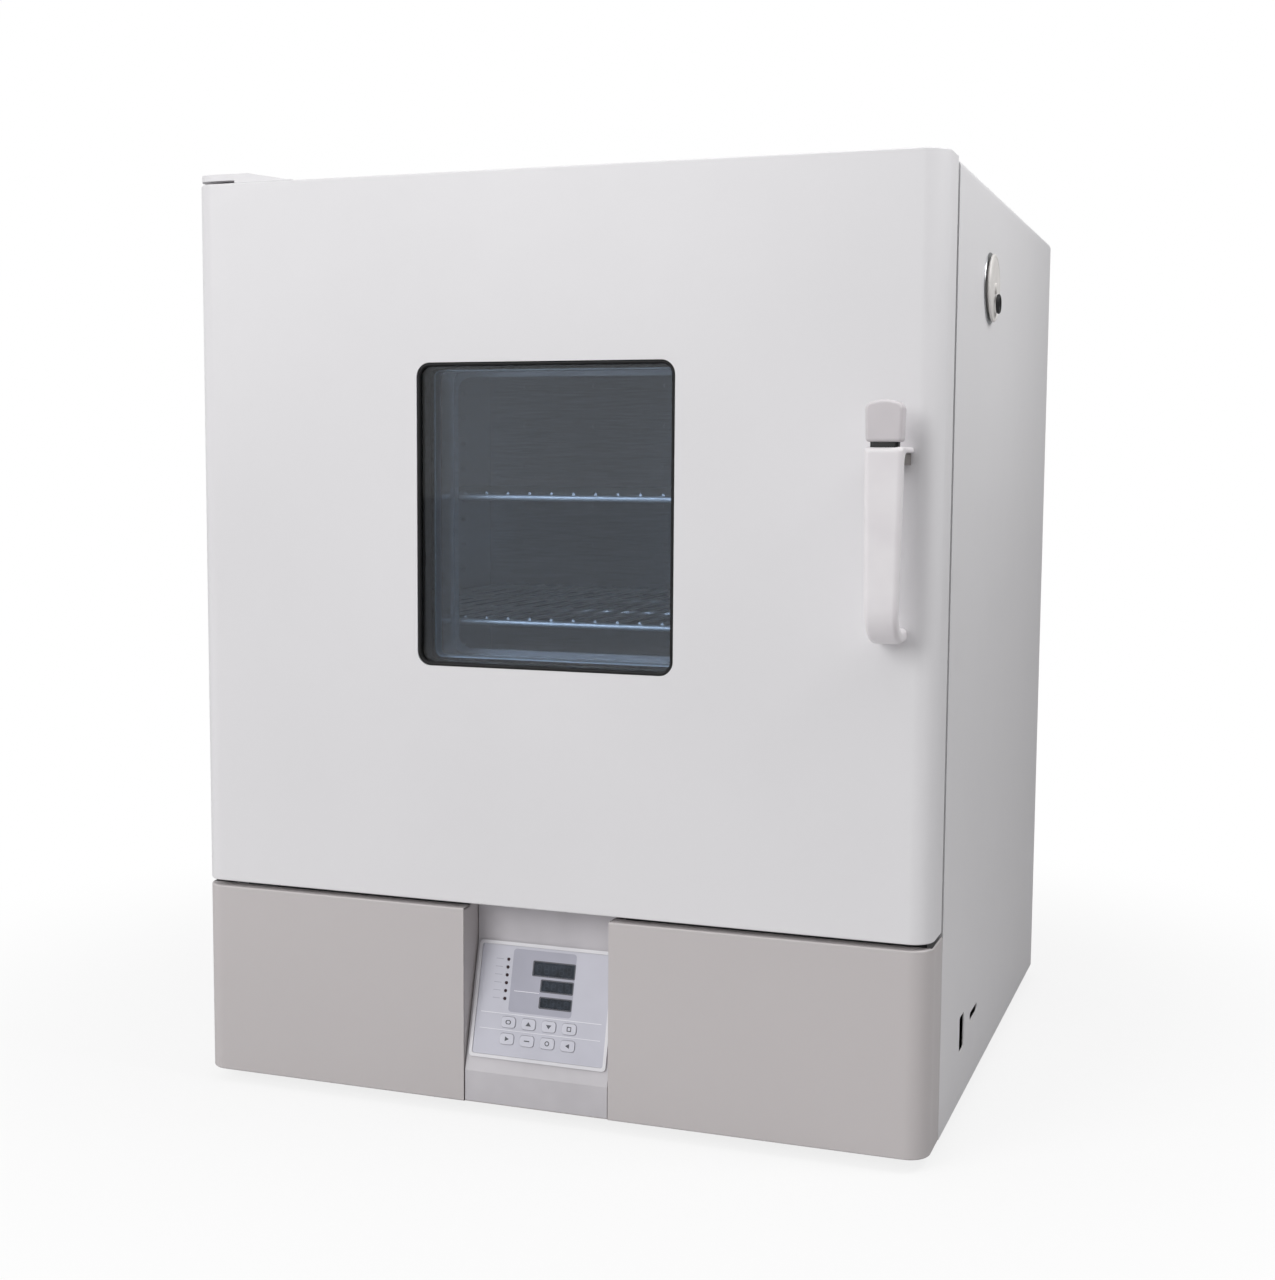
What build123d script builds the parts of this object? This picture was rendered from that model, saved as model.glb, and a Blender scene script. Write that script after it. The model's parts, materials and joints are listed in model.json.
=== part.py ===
"""Forced-air drying oven with a windowed door, a push-button handle and a sloping control console.

Millimetres. +Z is up, the door faces -Y, and +X is to the right of someone at the door.
The origin is under the middle of the oven, on the surface that its feet stand on.
"""

import os
from math import atan, cos, degrees, radians, sin, tan

from build123d import *

# Cabinet
BODY_WIDTH = 710.0
BODY_DEPTH = 670.0
BODY_HEIGHT = 850.0
FOOT_HEIGHT = 12.0
FOOT_RADIUS = 18.0
FOOT_INSET = 45.0
SHEET = 1.5
CASING_BEND = 8.0
CASING_FLANGE = 14.0
FIT = 0.3
SEAM = 0.5

# Door
DOOR_THICKNESS = 50.0
DOOR_GAP = 8.0
DOOR_CLEARANCE = 5.0
DOOR_CORNER = 20.0
PLUG_DEPTH = 22.0
PLUG_CLEARANCE = 8.0
PLUG_TAPER = 8.0
GASKET_WIDTH = 9.0
GASKET_INSET = 3.0

# Lower front cover and console
COVER_HEIGHT = 183.0
COVER_FLANGE = 15.0
NOTCH_WIDTH = 143.0
NOTCH_OFFSET = -6.5
NOTCH_WALL_DEPTH = 42.0
CONSOLE_SETBACK = 1.0
CONSOLE_KNEE = 30.0
CONSOLE_TILT = 15.0
CONSOLE_SLOPE = 121.0
CONSOLE_WALL = 2.5
BEZEL_WIDTH = 136.0
BEZEL_BOTTOM = 13.4
BEZEL_RIM = 3.2
BEZEL_RAISE = 1.6
MEMBRANE_THICKNESS = 1.2

# Chamber
SIDE_WALL = 55.0
ROOF_THICKNESS = 57.0
PARTITION_RISE = 3.5
FLOOR_INSULATION = 50.0
PLENUM_HEIGHT = 55.0
DUCT_DEPTH = 40.0
REAR_INSULATION = 51.0
REAR_SPACE = 18.0
TANK_BEND = 8.0
FRAME_SKIRT = 48.0

# Window
WINDOW_WIDTH = 247.0
WINDOW_HEIGHT = 275.0
WINDOW_DROP = 305.5
WINDOW_CORNER = 13.0
GASKET_LIP = 3.4
GLASS_THICKNESS = 4.0
GLASS_LAP = 8.0
SPACER_DEPTH = 15.5
REVEAL_STEP = 2.2

# Hinges
HINGE_FROM_SIDE = 10.0
HINGE_FROM_FACE = 38.0
HINGE_PIN_RADIUS = 4.0
HINGE_PIN_LENGTH = 16.0
BUSH_RADIUS = 7.0
RUNNING = 0.05
BRACKET_RISE = 9.0
BRACKET_GAP = 3.0
BRACKET_FLAT = 56.0
BRACKET_LENGTH = 103.0
BRACKET_SEAT = 70.0
PLATE_THICKNESS = 3.0

# Handle and latch
HANDLE_REACH = 46.0
HANDLE_OFFSET = 39.4
HANDLE_DROP = 243.0
HANDLE_LENGTH = 162.0
ARM_DROP = 7.0
HANDLE_TOP_WIDTH = 32.5
HANDLE_BAR_WIDTH = 28.0
BAR_THICKNESS = 12.0
FOOT_THICKNESS = 14.5
BUTTON_WIDTH = 31.0
BUTTON_HEIGHT = 34.0
BUTTON_DEPTH = 17.0
BUTTON_TRAVEL = 3.5
BUTTON_GAP = 3.9
LATCH_OFFSET = 34.0
LATCH_PIVOT_DEPTH = 14.0
LATCH_PIN_RADIUS = 3.0
ARM_WIDTH = 10.0
ARM_THICKNESS = 3.0
HOOK_THICKNESS = 6.0
HOOK_HEIGHT = 8.0
STRIKE_PIN_RADIUS = 2.5

# Side fittings
PORT_FROM_MOUTH = 170.0
PORT_ROOM = 2.2
PORT_RADIUS = 24.0
PORT_WALL = 1.5
PORT_CAP_LAP = 7.0
PORT_CAP_GAP = 3.0
PORT_CAP_THICKNESS = 2.5
PORT_STEM_SETBACK = 14.0
BREAKER_FROM_FACE = 170.5
BREAKER_HEIGHT = 64.0
BREAKER_WINDOW = (25.0, 34.0)
SIDE_SLOT_FROM_FACE = 238.0
SIDE_SLOT_HEIGHT = 64.8
SIDE_SLOT = (43.0, 8.0)

# Rear fittings
REAR_REACH = 32.0
EXHAUST_FROM_SIDE = 120.0
EXHAUST_ROOM = 18.7
EXHAUST_BORE = 16.5
EXHAUST_WALL = 2.5
GLAND_FROM_SIDE = 105.0
GLAND_HEIGHT = 52.0
GLAND_BORE = 6.0

# Air, heat and shelves
FAN_RADIUS = 90.0
FAN_HEIGHT = 34.0
FAN_CLEARANCE = 8.0
BLADE_COUNT = 20
SHAFT_RADIUS = 5.0
MOTOR_RADIUS = 50.0
MOTOR_HEIGHT = 82.0
MOTOR_STANDOFF = 12.0
HEATER_RADIUS = 4.0
SENSOR_RADIUS = 2.4
UPRIGHT_WIDTH = 22.0
UPRIGHT_DEPTH = 8.0
UPRIGHT_PITCH = 29.5
UPRIGHT_INSET = 95.0
FIRST_SLOT = 56.5
SHELF_STEPS = (3, 7)
SHELF_SETBACK = 20.0
SHELF_BACK_GAP = 18.0
RAIL_RADIUS = 3.0
WIRE_RADIUS = 1.5
WIRE_COUNT = 25
CLIP_WIDTH = 11.0
CLIP_REACH = 15.0

# Places worked out from the sizes above
LEFT, RIGHT = -BODY_WIDTH / 2, BODY_WIDTH / 2
BOTTOM, TOP = FOOT_HEIGHT, FOOT_HEIGHT + BODY_HEIGHT
FRONT = -(BODY_DEPTH + REAR_REACH - HANDLE_REACH) / 2
BACK = FRONT + BODY_DEPTH
DOOR_BACK = FRONT + DOOR_THICKNESS
CABINET_FRONT = DOOR_BACK + DOOR_GAP
FRAME_FACE = CABINET_FRONT + SHEET
TANK_FRONT = FRAME_FACE + SHEET
COVER_TOP = BOTTOM + COVER_HEIGHT
DOOR_BOTTOM = COVER_TOP + DOOR_CLEARANCE
PARTITION_TOP = COVER_TOP + PARTITION_RISE
FRAME_BOTTOM = PARTITION_TOP - FRAME_SKIRT
TANK_FLOOR = PARTITION_TOP + FLOOR_INSULATION + SHEET
CHAMBER_FLOOR = TANK_FLOOR + PLENUM_HEIGHT
CHAMBER_TOP = TOP - ROOF_THICKNESS
CHAMBER_HEIGHT = CHAMBER_TOP - CHAMBER_FLOOR
CHAMBER_SIDE = RIGHT - SIDE_WALL
TANK_BACK = BACK - REAR_SPACE - REAR_INSULATION - SHEET
CHAMBER_BACK = TANK_BACK - DUCT_DEPTH - SHEET
CHAMBER_DEPTH = CHAMBER_BACK - CABINET_FRONT
WINDOW_Z = TOP - WINDOW_DROP
HINGE_X, HINGE_Y = LEFT + HINGE_FROM_SIDE, FRONT + HINGE_FROM_FACE
HANDLE_X = RIGHT - HANDLE_OFFSET
HANDLE_Z1 = TOP - HANDLE_DROP
HANDLE_Z0 = HANDLE_Z1 - HANDLE_LENGTH
LATCH_X = RIGHT - LATCH_OFFSET
ARM_Z = HANDLE_Z1 - ARM_DROP
PORT_HOLE = PORT_RADIUS + PORT_WALL + FIT
PORT_Y, PORT_Z = CABINET_FRONT + PORT_FROM_MOUTH, CHAMBER_TOP - TANK_BEND - PORT_ROOM - PORT_HOLE
PORT_CAP_RADIUS = PORT_RADIUS + PORT_CAP_LAP
PORT_STEM = RIGHT + PORT_CAP_GAP - CHAMBER_SIDE - PORT_STEM_SETBACK
EXHAUST_HOLE = EXHAUST_BORE + EXHAUST_WALL + FIT
EXHAUST_X, EXHAUST_Z = EXHAUST_FROM_SIDE - CHAMBER_SIDE, CHAMBER_TOP - EXHAUST_ROOM - EXHAUST_HOLE
GLAND_X, GLAND_Z = RIGHT - GLAND_FROM_SIDE, BOTTOM + GLAND_HEIGHT
FAN_Y = CABINET_FRONT + CHAMBER_DEPTH / 2
FOOT_MIDDLE = (CABINET_FRONT + BACK) / 2
FOOT_SPAN_X = BODY_WIDTH - 2 * FOOT_INSET
FOOT_SPAN_Y = BACK - CABINET_FRONT - 2 * FOOT_INSET


def front_plane(y):
    """A plane that faces the front at depth y, with its x to the right and its y up."""
    return Plane.XZ.offset(-y)


def panel(x0, x1, y0, y1, radius=0.0, mode=Mode.ADD):
    """Draws a rectangle between two corners, rounded where a radius is given."""
    with Locations(((x0 + x1) / 2, (y0 + y1) / 2)):
        if radius > 0:
            RectangleRounded(x1 - x0, y1 - y0, radius, mode=mode)
        else:
            Rectangle(x1 - x0, y1 - y0, mode=mode)


def disc(x, y, radius, mode=Mode.ADD):
    """Draws a circle at a place on the sketch."""
    with Locations((x, y)):
        Circle(radius, mode=mode)


def finish(piece, label):
    """Names a finished piece and writes it to its own file."""
    piece.part.label = label
    export_step(piece.part, f"parts/{label}.step")


os.makedirs("parts", exist_ok=True)

# Outer casing: one folded sheet over both sides and the top, with flanges turned in round the door opening
with BuildPart() as outer_casing:
    with BuildSketch(front_plane(CABINET_FRONT)) as casing_outline:
        panel(LEFT, RIGHT, BOTTOM, TOP)
        fillet(casing_outline.vertices().group_by(Axis.Y)[-1], CASING_BEND)
    extrude(amount=-(BACK - CABINET_FRONT))
    with BuildSketch(front_plane(FRAME_FACE)) as casing_hollow:
        panel(LEFT + SHEET, RIGHT - SHEET, BOTTOM, TOP - SHEET)
        fillet(casing_hollow.vertices().group_by(Axis.Y)[-1], CASING_BEND - SHEET)
    extrude(amount=-(BACK - FRAME_FACE), mode=Mode.SUBTRACT)
    with BuildSketch(front_plane(CABINET_FRONT)):
        panel(LEFT + CASING_FLANGE, RIGHT - CASING_FLANGE, BOTTOM, TOP - CASING_FLANGE)
    extrude(amount=-SHEET, mode=Mode.SUBTRACT)
    with BuildSketch(Plane.YZ.offset(RIGHT)):
        disc(PORT_Y, PORT_Z, PORT_HOLE)
        with Locations((FRONT + BREAKER_FROM_FACE, BOTTOM + BREAKER_HEIGHT)):
            RectangleRounded(*BREAKER_WINDOW, 2.0)
        with Locations((FRONT + SIDE_SLOT_FROM_FACE, BOTTOM + SIDE_SLOT_HEIGHT)):
            SlotOverall(*SIDE_SLOT)
    extrude(amount=-2 * SHEET, mode=Mode.SUBTRACT)
finish(outer_casing, "outer_casing")

# Back cover: a flat sheet inside the casing, with holes for the exhaust and the cord and rows of louvres
VENT_WIDTH = 60.0
VENT_PITCH = 14.0
VENT_ROWS = 5
VENT_HEIGHT = 95.0
VENT_SLIT = 3.6
HOOD_DEPTH = 4.0
with BuildPart() as back_cover:
    with BuildSketch(front_plane(BACK - SHEET)) as back_outline:
        panel(LEFT + SHEET + FIT, RIGHT - SHEET - FIT, BOTTOM, TOP - SHEET - FIT)
        fillet(back_outline.vertices().group_by(Axis.Y)[-1], CASING_BEND)
        disc(EXHAUST_X, EXHAUST_Z, EXHAUST_HOLE, Mode.SUBTRACT)
        disc(GLAND_X, GLAND_Z, GLAND_BORE + 4.0 + FIT, Mode.SUBTRACT)
    extrude(amount=-SHEET)
    with BuildSketch(front_plane(BACK)):
        with Locations((0, BOTTOM + VENT_HEIGHT)):
            with GridLocations(VENT_WIDTH * 1.5, VENT_PITCH, 4, VENT_ROWS):
                Rectangle(VENT_WIDTH, VENT_SLIT)
    extrude(amount=2 * SHEET, mode=Mode.SUBTRACT)
    with BuildSketch(front_plane(BACK)):
        with Locations((0, BOTTOM + VENT_HEIGHT + VENT_SLIT / 2 + SHEET / 2)):
            with GridLocations(VENT_WIDTH * 1.5, VENT_PITCH, 4, VENT_ROWS):
                Rectangle(VENT_WIDTH, SHEET)
    extrude(amount=-HOOD_DEPTH)
finish(back_cover, "back_cover")

# Base plate: a tray that closes the machine space from below
BASE_FLANGE = 20.0
with BuildPart() as base_plate:
    with BuildSketch(Plane.XY.offset(BOTTOM)):
        panel(LEFT + SHEET, RIGHT - SHEET, FRAME_FACE, BACK - SHEET)
    extrude(amount=BASE_FLANGE)
    offset(amount=-SHEET, openings=base_plate.faces().sort_by(Axis.Z)[-1])
    with BuildSketch(Plane.XY.offset(BOTTOM)):
        with Locations((0, FAN_Y)):
            with GridLocations(70.0, 16.0, 3, 6):
                SlotOverall(55.0, 5.0)
        with Locations((0, FOOT_MIDDLE)):
            with GridLocations(FOOT_SPAN_X, FOOT_SPAN_Y, 2, 2):
                Circle(3.2)
    extrude(amount=SHEET, mode=Mode.SUBTRACT)
finish(base_plate, "base_plate")

# Feet: four turned rubber feet, each with a recess for its screw
with BuildPart() as foot_form:
    with BuildSketch(Plane.XZ):
        with BuildLine():
            Polyline(
                (3.2, FOOT_HEIGHT),
                (FOOT_RADIUS, FOOT_HEIGHT),
                (FOOT_RADIUS - 1.0, 1.5),
                (FOOT_RADIUS - 2.5, 0),
                (7.0, 0),
                (7.0, FOOT_HEIGHT / 2),
                (3.2, FOOT_HEIGHT / 2),
                close=True,
            )
        make_face()
    revolve(axis=Axis.Z)
with BuildPart() as feet:
    with Locations((0, FOOT_MIDDLE)):
        with GridLocations(FOOT_SPAN_X, FOOT_SPAN_Y, 2, 2):
            add(foot_form.part)
finish(feet, "feet")

# Partition plate: a downward tray under the insulation, which also carries the fan motor
PARTITION_FLANGE = 14.0
TERMINAL_SPACING = 60.0
TERMINAL_Y = CHAMBER_BACK - 30.0
with BuildPart() as partition_plate:
    with BuildSketch(Plane.XY.offset(PARTITION_TOP)):
        panel(LEFT + SHEET, RIGHT - SHEET, TANK_FRONT, BACK - SHEET)
    extrude(amount=-PARTITION_FLANGE)
    offset(amount=-SHEET, openings=partition_plate.faces().sort_by(Axis.Z)[0])
    with BuildSketch(Plane.XY.offset(PARTITION_TOP)):
        disc(0, FAN_Y, SHAFT_RADIUS + 3.0)
        with Locations((0, TERMINAL_Y)):
            with GridLocations(TERMINAL_SPACING, 1, 2, 1):
                Circle(HEATER_RADIUS + FIT)
    extrude(amount=-SHEET, mode=Mode.SUBTRACT)
finish(partition_plate, "partition_plate")

# Front frame: the stainless plate round the chamber mouth that the door seal closes on
with BuildPart() as front_frame:
    with BuildSketch(front_plane(FRAME_FACE)) as frame_outline:
        panel(LEFT + SHEET + FIT, RIGHT - SHEET - FIT, FRAME_BOTTOM, TOP - SHEET - FIT)
        fillet(frame_outline.vertices().group_by(Axis.Y)[-1], CASING_BEND)
        panel(
            -CHAMBER_SIDE, CHAMBER_SIDE, CHAMBER_FLOOR - SHEET, CHAMBER_TOP, TANK_BEND, Mode.SUBTRACT
        )
        panel(
            -CHAMBER_SIDE,
            CHAMBER_SIDE,
            CHAMBER_FLOOR - SHEET,
            CHAMBER_FLOOR + 2 * TANK_BEND,
            mode=Mode.SUBTRACT,
        )
    extrude(amount=-SHEET)
finish(front_frame, "front_frame")

# Chamber tank: the welded inner box, with bent corners and holes for all that passes through its walls
SENSOR_FROM_SIDE = 120.0
SENSOR_DROP = 26.0
SENSOR_PITCH = 30.0
SENSOR_PLACES = [
    (CHAMBER_SIDE - SENSOR_FROM_SIDE - SENSOR_PITCH * n, CHAMBER_TOP - SENSOR_DROP) for n in (1, 0)
]
with BuildPart() as chamber_tank:
    with BuildSketch(front_plane(TANK_FRONT)):
        panel(
            -CHAMBER_SIDE - SHEET,
            CHAMBER_SIDE + SHEET,
            TANK_FLOOR - SHEET,
            CHAMBER_TOP + SHEET,
            TANK_BEND + SHEET,
        )
    extrude(amount=-(TANK_BACK + SHEET - TANK_FRONT))
    with BuildSketch(front_plane(TANK_FRONT)):
        panel(-CHAMBER_SIDE, CHAMBER_SIDE, TANK_FLOOR, CHAMBER_TOP, TANK_BEND)
    extrude(amount=-(TANK_BACK - TANK_FRONT), mode=Mode.SUBTRACT)
    with BuildSketch(Plane.YZ.offset(CHAMBER_SIDE)):
        disc(PORT_Y, PORT_Z, PORT_HOLE)
    extrude(amount=2 * SHEET, mode=Mode.SUBTRACT)
    with BuildSketch(front_plane(TANK_BACK)):
        disc(EXHAUST_X, EXHAUST_Z, EXHAUST_HOLE)
        for place in SENSOR_PLACES:
            disc(*place, SENSOR_RADIUS + FIT)
    extrude(amount=-2 * SHEET, mode=Mode.SUBTRACT)
    with BuildSketch(Plane.XY.offset(TANK_FLOOR)):
        disc(0, FAN_Y, SHAFT_RADIUS + 3.0)
        with Locations((0, TERMINAL_Y)):
            with GridLocations(TERMINAL_SPACING, 1, 2, 1):
                Circle(HEATER_RADIUS + FIT)
    extrude(amount=-2 * SHEET, mode=Mode.SUBTRACT)
finish(chamber_tank, "chamber_tank")

# Cabinet insulation: glass wool packed between the tank, the casing and the partition
with BuildPart() as cabinet_insulation:
    with BuildSketch(front_plane(TANK_FRONT + FIT)) as wool_outline:
        panel(LEFT + SHEET + SEAM, RIGHT - SHEET - SEAM, PARTITION_TOP + FIT, TOP - SHEET - SEAM)
        fillet(wool_outline.vertices().group_by(Axis.Y)[-1], CASING_BEND)
    extrude(amount=-(BACK - REAR_SPACE - TANK_FRONT - FIT))
    with BuildSketch(front_plane(TANK_FRONT)):
        panel(
            -CHAMBER_SIDE - SHEET - SEAM,
            CHAMBER_SIDE + SHEET + SEAM,
            TANK_FLOOR - SHEET - SEAM,
            CHAMBER_TOP + SHEET + SEAM,
            TANK_BEND + SHEET,
        )
    extrude(amount=-(TANK_BACK + SHEET + SEAM - TANK_FRONT), mode=Mode.SUBTRACT)
    with BuildSketch(Plane.YZ):
        disc(PORT_Y, PORT_Z, PORT_RADIUS + PORT_WALL + SEAM)
    extrude(amount=RIGHT, mode=Mode.SUBTRACT)
    with BuildSketch(front_plane(TANK_BACK)):
        disc(EXHAUST_X, EXHAUST_Z, EXHAUST_BORE + EXHAUST_WALL + SEAM)
        for place in SENSOR_PLACES:
            disc(*place, SENSOR_RADIUS + SEAM)
    extrude(amount=-(BACK - TANK_BACK), mode=Mode.SUBTRACT)
    with BuildSketch(Plane.XY.offset(TANK_FLOOR)):
        disc(0, FAN_Y, SHAFT_RADIUS + 8.0)
        with Locations((0, TERMINAL_Y)):
            with GridLocations(TERMINAL_SPACING, 1, 2, 1):
                Circle(HEATER_RADIUS + SEAM)
    extrude(amount=-(TANK_FLOOR - BOTTOM), mode=Mode.SUBTRACT)
finish(cabinet_insulation, "cabinet_insulation")

# Shelf uprights: four slotted channels with their open side to the tank wall
UPRIGHT_X = CHAMBER_SIDE - UPRIGHT_DEPTH
UPRIGHT_FRONT_Y = CABINET_FRONT + UPRIGHT_INSET
UPRIGHT_REAR_Y = CHAMBER_BACK - UPRIGHT_INSET
UPRIGHT_BOTTOM = CHAMBER_FLOOR + 20.0
UPRIGHT_TOP = CHAMBER_TOP - 25.0
UPRIGHT_HALF = UPRIGHT_WIDTH / 2
SLOT_HEIGHT = 4.0
SLOT_START = CHAMBER_FLOOR + FIRST_SLOT
upright_steps = int((UPRIGHT_TOP - SLOT_START - SLOT_HEIGHT) / UPRIGHT_PITCH) + 1
CLIP_LEVELS = [SLOT_START + step * UPRIGHT_PITCH for step in SHELF_STEPS]
SHELF_REST = [level + SHEET / 2 + FIT for level in CLIP_LEVELS]
UPRIGHT_PLACES = [
    (side, y) for side in (-1, 1) for y in (UPRIGHT_FRONT_Y, UPRIGHT_REAR_Y)
]
with BuildPart() as upright_form:
    with BuildSketch(Plane.XY.offset(UPRIGHT_BOTTOM)):
        panel(UPRIGHT_X, CHAMBER_SIDE, -UPRIGHT_HALF, UPRIGHT_HALF)
        panel(
            UPRIGHT_X + SHEET,
            CHAMBER_SIDE,
            -UPRIGHT_HALF + SHEET,
            UPRIGHT_HALF - SHEET,
            mode=Mode.SUBTRACT,
        )
    extrude(amount=UPRIGHT_TOP - UPRIGHT_BOTTOM)
    with BuildSketch(Plane.YZ.offset(UPRIGHT_X)):
        for step in range(upright_steps):
            with Locations((0, SLOT_START + step * UPRIGHT_PITCH)):
                Rectangle(CLIP_WIDTH + 2 * FIT, SLOT_HEIGHT)
    extrude(amount=SHEET, mode=Mode.SUBTRACT)
with BuildPart() as shelf_uprights:
    for side, y in UPRIGHT_PLACES:
        with Locations(Location((0, y, 0), (0, 0, 0 if side > 0 else 180))):
            add(upright_form.part)
finish(shelf_uprights, "shelf_uprights")

# Shelf clips: bent tongues that hook through the upright slots and carry the shelf rails
LIP_HEIGHT = 5.0
HOOK_DROP = 6.0
with BuildPart() as clip_form:
    with BuildSketch(Plane.XZ.offset(-CLIP_WIDTH / 2)):
        with BuildLine():
            Polyline(
                (UPRIGHT_X + SHEET + FIT, SHEET / 2),
                (UPRIGHT_X - CLIP_REACH + SHEET, SHEET / 2),
                (UPRIGHT_X - CLIP_REACH + SHEET, LIP_HEIGHT),
                (UPRIGHT_X - CLIP_REACH, LIP_HEIGHT),
                (UPRIGHT_X - CLIP_REACH, -SHEET / 2),
                (UPRIGHT_X - SHEET, -SHEET / 2),
                (UPRIGHT_X - SHEET, -HOOK_DROP * 2),
                (UPRIGHT_X, -HOOK_DROP * 2),
                (UPRIGHT_X, -SHEET / 2),
                (UPRIGHT_X + SHEET + FIT, -SHEET / 2),
                (UPRIGHT_X + SHEET + FIT, -HOOK_DROP),
                (UPRIGHT_X + 2 * SHEET + FIT, -HOOK_DROP),
                (UPRIGHT_X + 2 * SHEET + FIT, SHEET / 2),
                close=True,
            )
        make_face()
    extrude(amount=CLIP_WIDTH)
with BuildPart() as shelf_clips:
    for level in CLIP_LEVELS:
        for side, y in UPRIGHT_PLACES:
            turned = (0, 0, 0 if side > 0 else 180)
            with Locations(Location((0, y, level), turned)):
                add(clip_form.part)
finish(shelf_clips, "shelf_clips")

# Rear air baffle: the slotted plate through which the heated air enters the chamber
BAFFLE_SLOT = (62.0, 6.0)
BAFFLE_PITCH = (90.0, 47.5)
BAFFLE_EDGE = (42.0, 55.0)
baffle_columns = int((2 * CHAMBER_SIDE - 2 * BAFFLE_EDGE[0] - BAFFLE_SLOT[0]) / BAFFLE_PITCH[0]) + 1
baffle_rows = int((CHAMBER_HEIGHT - 2 * BAFFLE_EDGE[1] - BAFFLE_SLOT[1]) / BAFFLE_PITCH[1]) + 1
with BuildPart() as rear_air_baffle:
    with BuildSketch(front_plane(CHAMBER_BACK)) as baffle_outline:
        panel(
            -CHAMBER_SIDE + FIT,
            CHAMBER_SIDE - FIT,
            CHAMBER_FLOOR - SHEET,
            CHAMBER_TOP - FIT,
        )
        fillet(baffle_outline.vertices().group_by(Axis.Y)[-1], TANK_BEND)
        with Locations((0, (CHAMBER_FLOOR + CHAMBER_TOP) / 2)):
            with GridLocations(*BAFFLE_PITCH, baffle_columns, baffle_rows):
                SlotOverall(*BAFFLE_SLOT, mode=Mode.SUBTRACT)
        for place in SENSOR_PLACES:
            disc(*place, SENSOR_RADIUS + FIT, Mode.SUBTRACT)
    extrude(amount=-SHEET)
finish(rear_air_baffle, "rear_air_baffle")

# Floor air baffle: the chamber floor, with rings of curved slots over the fan and edges turned down
FLOOR_LIP = 12.0
INTAKE_RINGS = ((24.0, 44.0, 4), (42.0, 46.0, 6), (60.0, 36.0, 8))
INTAKE_SLOT = 7.0
with BuildPart() as floor_air_baffle:
    with BuildSketch(Plane.XY.offset(CHAMBER_FLOOR)):
        panel(
            -CHAMBER_SIDE + FIT, CHAMBER_SIDE - FIT, TANK_FRONT, CHAMBER_BACK - FIT
        )
    extrude(amount=-FLOOR_LIP)
    offset(amount=-SHEET, openings=floor_air_baffle.faces().sort_by(Axis.Z)[0])
    with BuildSketch(Plane.XY.offset(CHAMBER_FLOOR)):
        for ring_radius, ring_share, ring_count in INTAKE_RINGS:
            with Locations((0, FAN_Y)):
                with PolarLocations(0, ring_count):
                    SlotArc(
                        CenterArc((0, 0), ring_radius, 0, ring_share), INTAKE_SLOT
                    )
    extrude(amount=-SHEET, mode=Mode.SUBTRACT)
finish(floor_air_baffle, "floor_air_baffle")

# Heater element: one sheathed rod bent round the fan, with both ends down through the tank floor
HEATER_Z = TANK_FLOOR + PLENUM_HEIGHT / 2
HEATER_SIDE = CHAMBER_SIDE - 60.0
HEATER_FRONT = CABINET_FRONT + 45.0
HEATER_END = PARTITION_TOP - 24.0
with BuildPart() as heater_element:
    with BuildLine() as heater_path:
        FilletPolyline(
            (-TERMINAL_SPACING / 2, TERMINAL_Y, HEATER_END),
            (-TERMINAL_SPACING / 2, TERMINAL_Y, HEATER_Z),
            (-HEATER_SIDE, TERMINAL_Y, HEATER_Z),
            (-HEATER_SIDE, HEATER_FRONT, HEATER_Z),
            (HEATER_SIDE, HEATER_FRONT, HEATER_Z),
            (HEATER_SIDE, TERMINAL_Y, HEATER_Z),
            (TERMINAL_SPACING / 2, TERMINAL_Y, HEATER_Z),
            (TERMINAL_SPACING / 2, TERMINAL_Y, HEATER_END),
            radius=18.0,
        )
    with BuildSketch(Plane(heater_path.line @ 0, z_dir=heater_path.line % 0)):
        Circle(HEATER_RADIUS)
    sweep()
finish(heater_element, "heater_element")

# Fan wheel: a back plate with its hub, forward-curved blades and a ring over them
WHEEL_BOTTOM = TANK_FLOOR + FAN_CLEARANCE
WHEEL_PLATE = 1.5
BLADE_INNER = FAN_RADIUS * 0.68
BLADE_SWEEP = 16.0
BLADE_BEND = 32.0
HUB_RADIUS = 16.0
HUB_HEIGHT = 18.0
with BuildSketch() as blade_plan:
    with BuildLine():
        RadiusArc(
            (BLADE_INNER, 0),
            (
                (FAN_RADIUS - 1.5) * cos(radians(BLADE_SWEEP)),
                (FAN_RADIUS - 1.5) * sin(radians(BLADE_SWEEP)),
            ),
            BLADE_BEND,
        )
    trace(line_width=WHEEL_PLATE)
with BuildPart() as fan_wheel:
    with BuildSketch(Plane.XY.offset(WHEEL_BOTTOM)):
        disc(0, FAN_Y, FAN_RADIUS)
    extrude(amount=WHEEL_PLATE)
    with BuildSketch(Plane.XY.offset(WHEEL_BOTTOM)):
        with Locations((0, FAN_Y)):
            with PolarLocations(0, BLADE_COUNT):
                add(blade_plan.sketch)
    extrude(amount=FAN_HEIGHT)
    with BuildSketch(Plane.XY.offset(WHEEL_BOTTOM + FAN_HEIGHT - WHEEL_PLATE)):
        disc(0, FAN_Y, FAN_RADIUS)
        disc(0, FAN_Y, BLADE_INNER - 2.0, Mode.SUBTRACT)
    extrude(amount=WHEEL_PLATE)
    with BuildSketch(Plane.XY.offset(WHEEL_BOTTOM)):
        disc(0, FAN_Y, HUB_RADIUS)
    extrude(amount=HUB_HEIGHT)
    with BuildSketch(Plane.XY.offset(WHEEL_BOTTOM)):
        disc(0, FAN_Y, SHAFT_RADIUS)
    extrude(amount=HUB_HEIGHT, mode=Mode.SUBTRACT)
finish(fan_wheel, "fan_wheel")

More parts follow.
